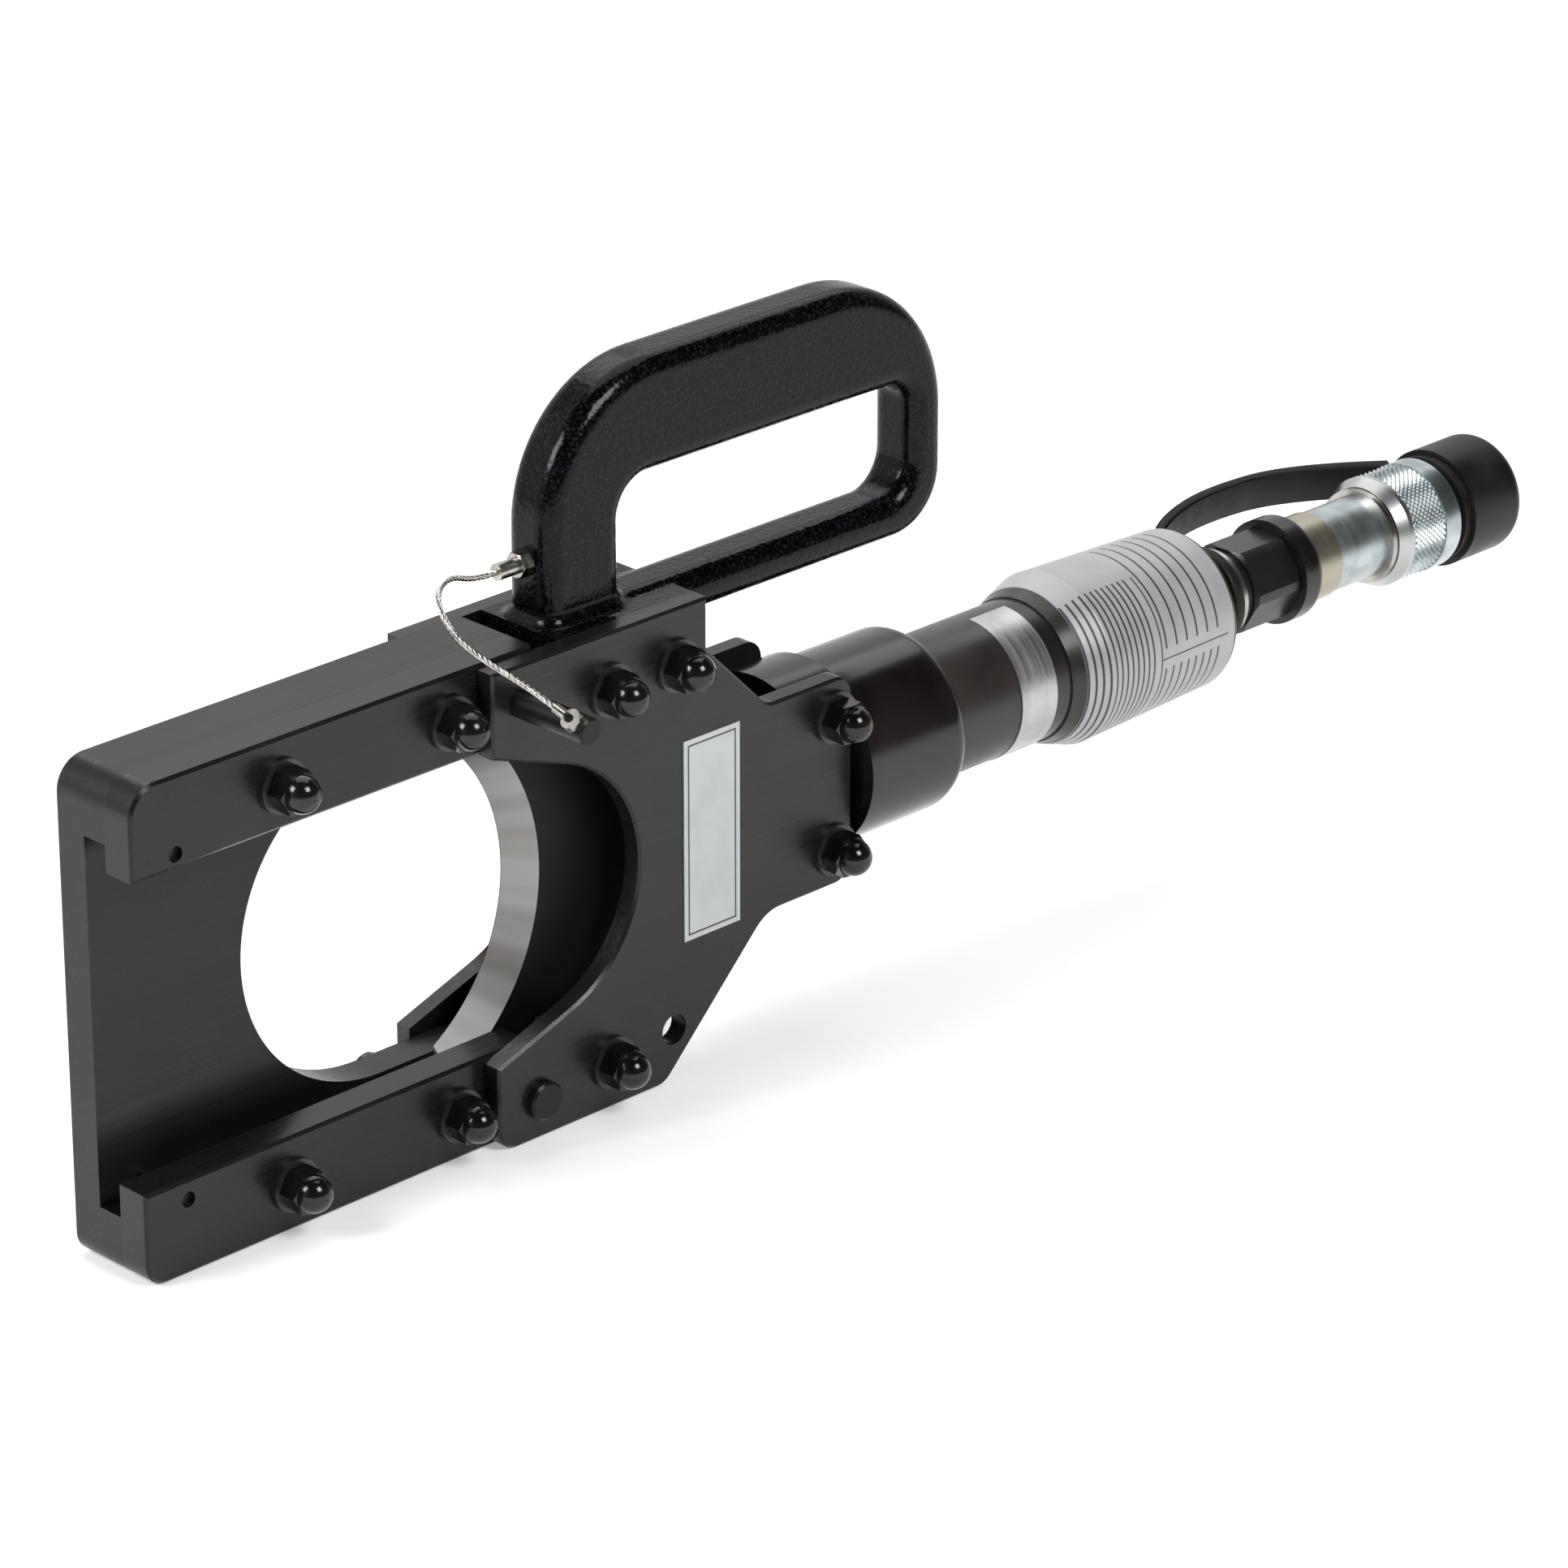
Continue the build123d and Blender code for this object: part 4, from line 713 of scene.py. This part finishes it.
# Bare and plated metals, from dull spring steel to mirror-like hard chrome.
BLADE_STEEL = GroundBlade()
SPRING_STEEL = TurnedMetal(name="oiled_spring_steel", colour="#6d6c6b", shadow="#4a4948", smooth=0.3,
                           rough=0.45)
CHROME = TurnedMetal(name="hard_chrome_rod", colour="#c9cccd", shadow="#b6babc", smooth=0.08, rough=0.18)
BRIGHT_STEEL = TurnedMetal(name="bright_drawn_steel", colour="#c4c1bc", shadow="#96928c", smooth=0.18,
                           rough=0.34)
BAND_ALUMINIUM = TurnedMetal(name="brushed_aluminium_band", colour="#c8c7c6", shadow="#aeadac", ring=0.7,
                             smooth=0.3, rough=0.46, bloom=14.0)
BRONZE = TurnedMetal(name="sintered_bronze_bush", colour="#9c7440", shadow="#6f4f28", smooth=0.35, rough=0.5)
WIRE = TurnedMetal(name="galvanised_wire_strand", colour="#e6e3df", shadow="#c4c0ba", ring=0.4, bloom=1.5)
COUPLER_ZINC = PassivatedCoupler(smooth=0.33, rough=0.40)
SLEEVE_ZINC = PassivatedCoupler(name="zinc_plated_sleeve", yellow="#b9bcbb", collar_end=358.9, smooth=0.27,
                                rough=0.34)
# Stuck-on plates, rubbers and the table.
FOIL = RuledFoil()
LABEL = BlankLabel()
RUBBER = MouldedRubber()
CAP_VINYL = MouldedRubber(name="dipped_vinyl_cap", deep="#131010", dusty="#221d1c", grain=1.4, dust=12.0,
                          smooth=0.36, rough=0.50)
SEAL = MouldedRubber(name="nitrile_seal", deep="#101010", dusty="#1b1b1b", grain=0.6)
TABLE = LightTable()


def dress(finish: Finish, *names: str) -> None:
    """Give CAD nodes a finish.

    Args:
        finish: the finish to put in every material slot.
        names: the nodes' names.
    """
    for name in names:
        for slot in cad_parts[name].material_slots:
            slot.material = finish.material()
        LOG.info("%s dressed in %s", name, finish.name)


def make_piece(name: str, mesh: bpy.types.Mesh, finish: Finish,
               crease: float = 35.0) -> bpy.types.Object:
    """Make a visible piece of a mesh.

    Args:
        name: the piece's name.
        mesh: its mesh, already in its place.
        finish: its finish.
        crease: edges that turn by more degrees than this stay sharp.

    Returns:
        The new object, at the origin.
    """
    mesh.name = name
    mesh.materials.clear()
    mesh.materials.append(finish.material())
    mesh.shade_smooth()
    mesh.set_sharp_from_angle(angle=math.radians(crease))
    piece = bpy.data.objects.new(name, mesh)
    bpy.context.scene.collection.objects.link(piece)
    LOG.info("%s built with %d faces", name, len(mesh.polygons))
    return piece


def close_mesh(bm: bmesh.types.BMesh) -> bpy.types.Mesh:
    """Merge doubles, point the faces outwards and give the mesh.

    Args:
        bm: the shape, which is freed.

    Returns:
        The new mesh.
    """
    bmesh.ops.remove_doubles(bm, verts=bm.verts[:], dist=1e-6)
    bmesh.ops.recalc_face_normals(bm, faces=bm.faces[:])
    mesh = bpy.data.meshes.new("built")
    bm.to_mesh(mesh)
    bm.free()
    return mesh


def spline_points(points: Sequence[Vector], steps: int) -> list[Vector]:
    """Read points along a smooth route.

    Args:
        points: the route's control points, in metres.
        steps: points read for each span.

    Returns:
        The points of a NURBS spline of order 3 that ends on the first and last control points.
    """
    data = bpy.data.curves.new("route", "CURVE")
    data.dimensions = "3D"
    data.resolution_u = steps
    spline = data.splines.new("NURBS")
    spline.points.add(len(points) - 1)
    for control, place in zip(spline.points, points):
        control.co = (*place, 1.0)
    spline.order_u = 3
    spline.use_endpoint_u = True
    route = bpy.data.objects.new("route", data)
    mesh = bpy.data.meshes.new_from_object(route)
    read = [vertex.co.copy() for vertex in mesh.vertices]
    bpy.data.meshes.remove(mesh)
    bpy.data.objects.remove(route)
    bpy.data.curves.remove(data)
    return read


def turned_bmesh(profile: Iterable[tuple[float, float]], steps: int) -> bmesh.types.BMesh:
    """Spin a closed profile about the tool's axis.

    Args:
        profile: places along X and radii, in millimetres, in order round the section.
        steps: facets in the full turn.

    Returns:
        The turned shape.
    """
    bm = bmesh.new()
    ring = [bm.verts.new((x * MM, 0.0, (AXIS_Z + r) * MM)) for x, r in profile]
    edges = [bm.edges.new((a, b)) for a, b in zip(ring, ring[1:] + ring[:1])]
    bmesh.ops.spin(bm, geom=ring + edges, cent=AXIS, axis=(1.0, 0.0, 0.0), angle=math.tau, steps=steps,
                   use_merge=True)
    return bm


@dataclass
class Lanyard:
    """The stranded wire from the handle's post to the latch pin's eye."""

    start: Point = (37.0, 0.0, 141.5)
    bends: tuple[Point, ...] = ((30.0, 0.0, 141.5), (20.5, -1.6, 145.6), (11.2, -7.0, 144.8),
                                (8.6, -15.0, 138.6), (13.2, -22.5, 131.8), (19.6, -29.5, 126.0))
    end: Point = (22.65, -35.294, 121.73)
    diameter: float = 1.5
    length: float = 67.0
    outer_strands: int = 6
    lay_length: float = 9.0
    steps: int = 26

    def strands(self, route: Sequence[Vector]) -> list[list[Vector]]:
        """Twist the outer strands round the core.

        Args:
            route: points along the wire.

        Returns:
            The core's line and each outer strand's line.
        """
        offset = self.diameter / 3 * MM
        lines: list[list[Vector]] = [list(route)] + [[] for _ in range(self.outer_strands)]
        side = Vector((0.0, 1.0, 0.0))
        run = 0.0
        for i, place in enumerate(route):
            ahead = (route[min(i + 1, len(route) - 1)] - route[max(i - 1, 0)]).normalized()
            side = (side - side.dot(ahead) * ahead).normalized()
            up = ahead.cross(side)
            if i:
                run += (place - route[i - 1]).length
            for k in range(self.outer_strands):
                turn = math.tau * (run / (self.lay_length * MM) + k / self.outer_strands)
                lines[k + 1].append(place + offset * (math.cos(turn) * side + math.sin(turn) * up))
        return lines

    def build(self) -> bpy.types.Object:
        """Returns:
            The wire.
        """
        controls = [Vector(p) * MM for p in (self.start, *self.bends, self.end)]
        route = spline_points(controls, self.steps)
        data = bpy.data.curves.new("strands", "CURVE")
        data.dimensions = "3D"
        data.bevel_depth = self.diameter / 6 * MM
        data.bevel_resolution = 1
        data.use_fill_caps = True
        for line in self.strands(route):
            spline = data.splines.new("POLY")
            spline.points.add(len(line) - 1)
            for point, place in zip(spline.points, line):
                point.co = (*place, 1.0)
        holder = bpy.data.objects.new("strands", data)
        mesh = bpy.data.meshes.new_from_object(holder)
        bpy.data.objects.remove(holder)
        bpy.data.curves.remove(data)
        wire = make_piece("lanyard_strand", mesh, WIRE, crease=60.0)
        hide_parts("lanyard_wire")
        [tuple(p) for p in route]
        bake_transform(wire)
        return wire


@dataclass
class CapStrap:
    """The moulded rubber strap that keeps the dust cap, with its ring on the adapter's neck."""

    line: tuple[tuple[float, float], ...] = ((290.3, 12.3), (290.3, 20.4), (302.9, 27.6), (323.4, 31.4),
                                             (354.5, 28.6), (382.2, 16.4))
    tilt: float = 74.0
    width: float = 11.0
    thick: float = 2.8
    ring_x: tuple[float, float] = (288.5, 292.1)
    ring_r: tuple[float, float] = (10.85, 13.6)
    ring_facets: int = 64
    round_edge: float = 0.7
    steps: int = 9
    bend_start: tuple[float, float] = (302.9, 27.6)
    bend_end: tuple[float, float] = (381.0, 17.0)

    def place(self, x: float, r: float) -> Vector:
        """Give the point at this place along X and this distance from the axis, in the strap's plane."""
        tilt = math.radians(self.tilt)
        return Vector((x, r * math.sin(tilt), AXIS_Z + r * math.cos(tilt))) * MM

    def section(self, here: Vector, ahead: Vector) -> Matrix:
        """Give the matrix that stands the strap's section here.

        Args:
            here: the section's middle.
            ahead: the way that the strap runs.

        Returns:
            The matrix, with the strap's width along its local X.
        """
        tilt = math.radians(self.tilt)
        across = Vector((0.0, -math.cos(tilt), math.sin(tilt)))
        thick = ahead.cross(across).normalized()
        turned = Matrix((across, thick, ahead)).transposed().to_4x4()
        return Matrix.Translation(here) @ turned

    def build(self) -> bpy.types.Object:
        """Draw the section along its line, round it and add the ring.

        Returns:
            The strap with its ring.
        """
        route = spline_points([self.place(*p) for p in self.line], self.steps)
        aheads = [(route[min(i + 1, len(route) - 1)] - route[max(i - 1, 0)]).normalized()
                  for i in range(len(route))]
        stands = [self.section(p, a) for p, a in zip(route, aheads)]
        bm = bmesh.new()
        size = Matrix.Diagonal((self.width * MM, self.thick * MM, 1.0, 1.0))
        bmesh.ops.create_grid(bm, x_segments=1, y_segments=1, size=0.5, matrix=stands[0] @ size)
        bm.faces.ensure_lookup_table()
        face = bm.faces[0]
        for last, stand in zip(stands, stands[1:]):
            grown = bmesh.ops.extrude_face_region(bm, geom=[face])["geom"]
            verts = [g for g in grown if isinstance(g, bmesh.types.BMVert)]
            face = [g for g in grown if isinstance(g, bmesh.types.BMFace)][0]
            bmesh.ops.transform(bm, matrix=stand @ last.inverted(), verts=verts)
        bmesh.ops.recalc_face_normals(bm, faces=bm.faces[:])
        corners = [e for e in bm.edges if e.is_manifold and e.calc_face_angle() > math.radians(60.0)]
        bmesh.ops.bevel(bm, geom=corners, offset=self.round_edge * MM, affect="EDGES", segments=3,
                        profile=0.5, material=-1, clamp_overlap=True)
        strap = close_mesh(bm)
        (x0, x1), (r0, r1), e = self.ring_x, self.ring_r, self.round_edge
        ring = turned_bmesh([(x0, r0), (x0, r1 - e), (x0 + e * 0.3, r1 - e * 0.3), (x0 + e, r1), (x1 - e, r1),
                             (x1 - e * 0.3, r1 - e * 0.3), (x1, r1 - e), (x1, r0)], self.ring_facets)
        ring.from_mesh(strap)
        bpy.data.meshes.remove(strap)
        piece = make_piece("cap_keeper_strap", close_mesh(ring), RUBBER, crease=50.0)
        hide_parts("cap_strap")
        tuple(self.place(*self.bend_start))
        tuple(self.place(*self.bend_end))
        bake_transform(piece)
        return piece


@dataclass
class KnurledSleeve:
    """The coupler's turning sleeve, with a diamond knurl round its middle.

    The knurl is drawn coarser than a real one, at 1.7 mm, so that its diamonds show in the render.
    """

    start: float = 354.5
    end: float = 380.0
    outer: float = 15.4
    bore: float = 13.0
    mouth: float = 11.8
    lip: float = 6.2
    chamfer: float = 2.0
    shoulder: float = 3.0
    knurl_start: float = 359.4
    knurl_depth: float = 0.6
    knurl_count: int = 56
    diamonds: int = 7
    cuts: int = 8
    groove: float = 0.5

    @property
    def knurl_end(self) -> float:
        """The place along X where a whole number of diamonds ends."""
        return self.knurl_start + self.diamonds * self.outer * math.tau / self.knurl_count

    def profile(self) -> list[tuple[float, float]]:
        """Give the sleeve's section, with rows that fall on the knurl's ridges and grooves.

        Returns:
            Places along X and radii, in millimetres, in order round the section.
        """
        c, g = self.chamfer, self.groove
        rows = self.diamonds * self.cuts
        knurl = [self.knurl_start + (self.knurl_end - self.knurl_start) * i / rows for i in range(rows + 1)]
        return [(self.start, self.mouth), (self.start, self.outer - c),
                (self.start + self.shoulder, self.outer),
                (self.knurl_start - g, self.outer), (self.knurl_start - g, self.outer - g),
                *[(x, self.outer) for x in knurl],
                (self.knurl_end + g, self.outer - g), (self.knurl_end + g, self.outer),
                (self.end - c, self.outer), (self.end, self.outer - c), (self.end, self.bore),
                (self.start + self.lip, self.bore), (self.start + self.lip, self.mouth)]

    def build(self) -> bpy.types.Object:
        """Turn the sleeve, then press the knurl's crossing grooves into it.

        Returns:
            The sleeve, which turns with its body.
        """
        bm = turned_bmesh(self.profile(), self.cuts * self.knurl_count)
        pitch = math.tau / self.knurl_count
        for vertex in bm.verts:
            x = vertex.co.x / MM
            arm = Vector((0.0, vertex.co.y, vertex.co.z - AXIS.z))
            if self.knurl_start - 1e-4 <= x <= self.knurl_end + 1e-4 and arm.length > (self.outer - 0.1) * MM:
                around = math.atan2(arm.y, arm.z) / pitch
                along = (x - self.knurl_start) / (self.outer * pitch)
                left, right = [abs(2.0 * ((around + way * along) % 1.0) - 1.0) for way in (-1.0, 1.0)]
                vertex.co -= arm.normalized() * self.knurl_depth * MM * (1.0 - min(left, right))
        piece = make_piece("knurled_sleeve", close_mesh(bm), SLEEVE_ZINC, crease=28.0)
        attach(piece, Body.SLEEVE.value)
        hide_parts("coupler_sleeve")
        return piece


@dataclass
class WoundSpring:
    """A compression spring on the tool's axis, which rides on the tool's body."""

    name: str
    node: str
    joint: str
    start: float
    end: float
    mean_r: float
    wire: float
    turns: int
    anchor: float
    keep: float
    wire_facets: int = 10
    turn_facets: int = 32

    def build(self) -> bpy.types.Object:
        """Spin the wire's section round the axis with a pitch.

        Returns:
            The spring, on the tool's body.
        """
        bm = bmesh.new()
        made = bmesh.ops.create_circle(bm, segments=self.wire_facets, radius=self.wire / 2 * MM)
        stand = Matrix.Translation(((self.start + self.wire / 2) * MM, 0.0, AXIS.z + self.mean_r * MM))
        bmesh.ops.transform(bm, matrix=stand @ Matrix.Rotation(math.pi / 2, 4, "X"), verts=made["verts"])
        steps = self.turns * self.turn_facets
        advance = (self.end - self.start - self.wire) / steps * MM
        bmesh.ops.spin(bm, geom=bm.verts[:] + bm.edges[:], cent=AXIS, axis=(1.0, 0.0, 0.0),
                       angle=math.tau * self.turns, steps=steps, dvec=(advance, 0.0, 0.0))
        bmesh.ops.holes_fill(bm, edges=[e for e in bm.edges if e.is_boundary])
        piece = make_piece(self.name, close_mesh(bm), SPRING_STEEL, crease=60.0)
        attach(piece, Body.TOOL.value)
        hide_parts(self.node)
        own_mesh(piece)
        return piece


@dataclass
class CuttingFrame:
    """The hinged C-frame that holds the fixed edge and guides the blade."""

    plates: tuple[str, ...] = ("fixed_blade_plate",)
    rails: tuple[str, ...] = ("upper_rail", "lower_rail")
    spacers: tuple[str, ...] = ("upper_spacer", "lower_spacer")
    fasteners: tuple[str, ...] = ("frame_bolts", "frame_cap_nuts")

    def dress(self) -> None:
        """Give the frame its blackened steel and its fasteners their gloss."""
        dress(PLATE_STEEL, *self.plates)
        dress(RAIL_STEEL, *self.rails)
        dress(SPACER_PAINTED_SHADE_STEEL, *self.spacers)
        dress(FASTENER, *self.fasteners)
        dress(WASHER, "frame_washers")
        dress(PIN_BLACK, "blade_stop_pins")
        dress(BRONZE, "hinge_bushes")


@dataclass
class BodyCheeks:
    """The two cheeks, the block and the handle between them, and the latch."""

    cheeks: tuple[str, ...] = ("front_side_plate", "rear_side_plate")
    fasteners: tuple[str, ...] = ("body_bolts", "body_cap_nuts")

    def dress(self) -> None:
        """Give the body its steel, casting, label and fasteners."""
        dress(CHEEK_STEEL, *self.cheeks)
        dress(SPACER_PAINTED_SHADE_STEEL, "foot_spacer")
        dress(CASTING, "carry_handle")
        dress(FASTENER, *self.fasteners)
        dress(WASHER, "body_washers")
        dress(PIN_BLACK, "hinge_pin", "latch_pin")
        dress(BRIGHT_STEEL, "latch_eye", "lanyard_anchor")
        dress(LABEL, "side_label")


@dataclass
class RamCylinder:
    """The cylinder, the ram in it, and the blade that it pushes."""

    shells: tuple[str, ...] = ("neck_block", "cylinder_collar")
    tubes: tuple[str, ...] = ("barrel", "rear_cylinder")
    seals: tuple[str, ...] = ("rod_wiper", "barrel_seal", "piston_seal")

    def dress(self) -> None:
        """Give the cylinder its enamel, foil and band, and the ram its metals."""
        dress(ENAMEL, *self.shells)
        dress(BARREL_ENAMEL_PAINTED_REFLECTION, *self.tubes)
        dress(FOIL, "foil_wrap")
        dress(BAND_ALUMINIUM, "barrel_band")
        dress(BLADE_STEEL, "moving_blade")
        dress(CHROME, "piston_rod")
        dress(BRIGHT_STEEL, "piston", "blade_pin")
        dress(BRONZE, "rod_bush")
        dress(SEAL, *self.seals)

    def build(self) -> bpy.types.Object:
        """Wind the return spring."""
        return WoundSpring("return_coil", "return_spring", "blade_slide", start=150.8, end=262.4, mean_r=11.3,
                           wire=3.0, turns=8, anchor=150.5, keep=0.233).build()


@dataclass
class HoseCoupler:
    """The hex adapter, the screw coupler, its sleeve and the dust cap on its strap."""

    adapter: str = "hose_adapter"
    rings: tuple[str, ...] = ("adapter_snap_ring", "sleeve_retaining_ring")

    def dress(self) -> None:
        """Give the adapter its enamel, the coupler its plate and the cap its vinyl."""
        dress(ADAPTER_ENAMEL, self.adapter)
        dress(BRIGHT_STEEL, *self.rings, "coupler_poppet")
        dress(COUPLER_ZINC, "coupler_body")
        dress(CAP_VINYL, "dust_cap")
        dress(RUBBER, "strap_end_ring")

    def build(self) -> list[bpy.types.Object]:
        """Make the sleeve, the strap and the poppet's spring.

        Returns:
            The three pieces.
        """
        spring = WoundSpring("poppet_coil", "poppet_spring", "poppet_slide", start=356.8, end=369.2,
                             mean_r=5.2, wire=1.2, turns=5, anchor=356.5, keep=0.758)
        return [KnurledSleeve().build(), CapStrap().build(), spring.build()]


@dataclass
class Studio:
    """A white light table, softboxes on the left, in front and overhead, and the camera.

    Each lamp has its name, its place and side in metres, and its watts.
    """

    eye: Point = (-970.4, -1114.3, 741.9)
    target: Point = (128.9, 0.0, 59.6)
    lens: float = 156.24
    shift: tuple[float, float] = (0.0079, -0.0025)
    floor_size: float = 9.0
    front_screen: float = 0.08
    back_screen: float = 0.95
    screen_turn: tuple[float, float] = (-0.3, 0.6)
    screen_top: tuple[float, float] = (0.42, 0.74)
    screen_lean: float = 0.2
    aim: Point = (0.1, 0.0, 0.07)
    lamps: tuple[tuple[str, Point, float, float], ...] = (
        ("left_softbox", (-1.13, 0.40, 1.0), 0.6, 15.0),
        ("front_softbox", (0.116, -1.17, 1.15), 0.6, 16.0),
        ("overhead_softbox", (0.65, 0.56, 1.57), 1.6, 15.0))

    def camera(self) -> None:
        """Stand the camera where the photograph was taken from."""
        data = bpy.data.cameras.new("camera")
        data.lens = self.lens
        data.sensor_width = 36.0
        data.sensor_fit = "HORIZONTAL"
        data.shift_x, data.shift_y = self.shift
        data.clip_end = 50.0
        camera = bpy.data.objects.new("camera", data)
        bpy.context.scene.collection.objects.link(camera)
        camera.location = Vector(self.eye) * MM
        way = (Vector(self.target) - Vector(self.eye)).normalized()
        camera.rotation_euler = way.to_track_quat("-Z", "Y").to_euler()
        bpy.context.scene.camera = camera

    def lamp(self, name: str, place: Point, size: float, watts: float) -> None:
        """Hang a square softbox.

        Args:
            name: the lamp's name.
            place: where it hangs, in metres.
            size: its side, in metres.
            watts: its power.
        """
        data = bpy.data.lights.new(name, "AREA")
        data.size = size
        data.energy = watts
        lamp = bpy.data.objects.new(name, data)
        bpy.context.scene.collection.objects.link(lamp)
        lamp.location = place
        lamp.rotation_euler = (Vector(self.aim) - Vector(place)).to_track_quat("-Z", "Y").to_euler()

    def sky(self, tree: bpy.types.NodeTree) -> None:
        """Paint a pale screen round the back of the horizon, under a dark ceiling.

        Args:
            tree: the world's node tree.
        """
        tree.nodes.clear()
        way = add_node(tree, "TexCoord").outputs["Generated"]
        split = add_node(tree, "SeparateXYZ", inputs={0: way})
        height = add_node(tree, "Math", {"operation": "MULTIPLY_ADD"}, {
            0: split.outputs[1], 1: -self.screen_lean, 2: split.outputs[2]})
        fade = add_node(tree, "MapRange", {"interpolation_type": "SMOOTHSTEP"}, {
            "Value": height.outputs[0], "From Min": self.screen_top[0], "From Max": self.screen_top[1],
            "To Min": 1.0, "To Max": 0.0})
        screen = add_node(tree, "MapRange", inputs={
            "Value": split.outputs[1], "From Min": self.screen_turn[0], "From Max": self.screen_turn[1],
            "To Min": self.front_screen, "To Max": self.back_screen})
        glow = add_node(tree, "Math", {"operation": "MULTIPLY"}, {0: screen.outputs[0], 1: fade.outputs[0]})
        light = add_node(tree, "Background", inputs={"Color": linear("#ffffff"), "Strength": glow.outputs[0]})
        add_node(tree, "OutputWorld", inputs={"Surface": light.outputs[0]})

    def build(self) -> None:
        """Lay the floor, hang the lamps, set the sky and the film, and stand the camera."""
        bm = bmesh.new()
        bmesh.ops.create_grid(bm, x_segments=1, y_segments=1, size=self.floor_size / 2)
        mesh = bpy.data.meshes.new("floor")
        bm.to_mesh(mesh)
        bm.free()
        mesh.materials.append(TABLE.material())
        floor = bpy.data.objects.new("floor", mesh)
        bpy.context.scene.collection.objects.link(floor)
        for lamp in self.lamps:
            self.lamp(*lamp)
        world = bpy.data.worlds.new("studio")
        world.use_nodes = True
        self.sky(world.node_tree)
        bpy.context.scene.world = world
        bpy.context.scene.view_settings.view_transform = "Standard"
        self.camera()


def main() -> None:
    """Build and dress the sub-assemblies in order."""
    logging.basicConfig(level=logging.INFO, format="%(name)s: %(message)s")
    Studio().build()
    Lanyard().build()
    CuttingFrame().dress()
    BodyCheeks().dress()
    ram = RamCylinder()
    ram.dress()
    ram.build()
    coupler = HoseCoupler()
    coupler.dress()
    coupler.build()


if __name__ == "__main__":
    main()
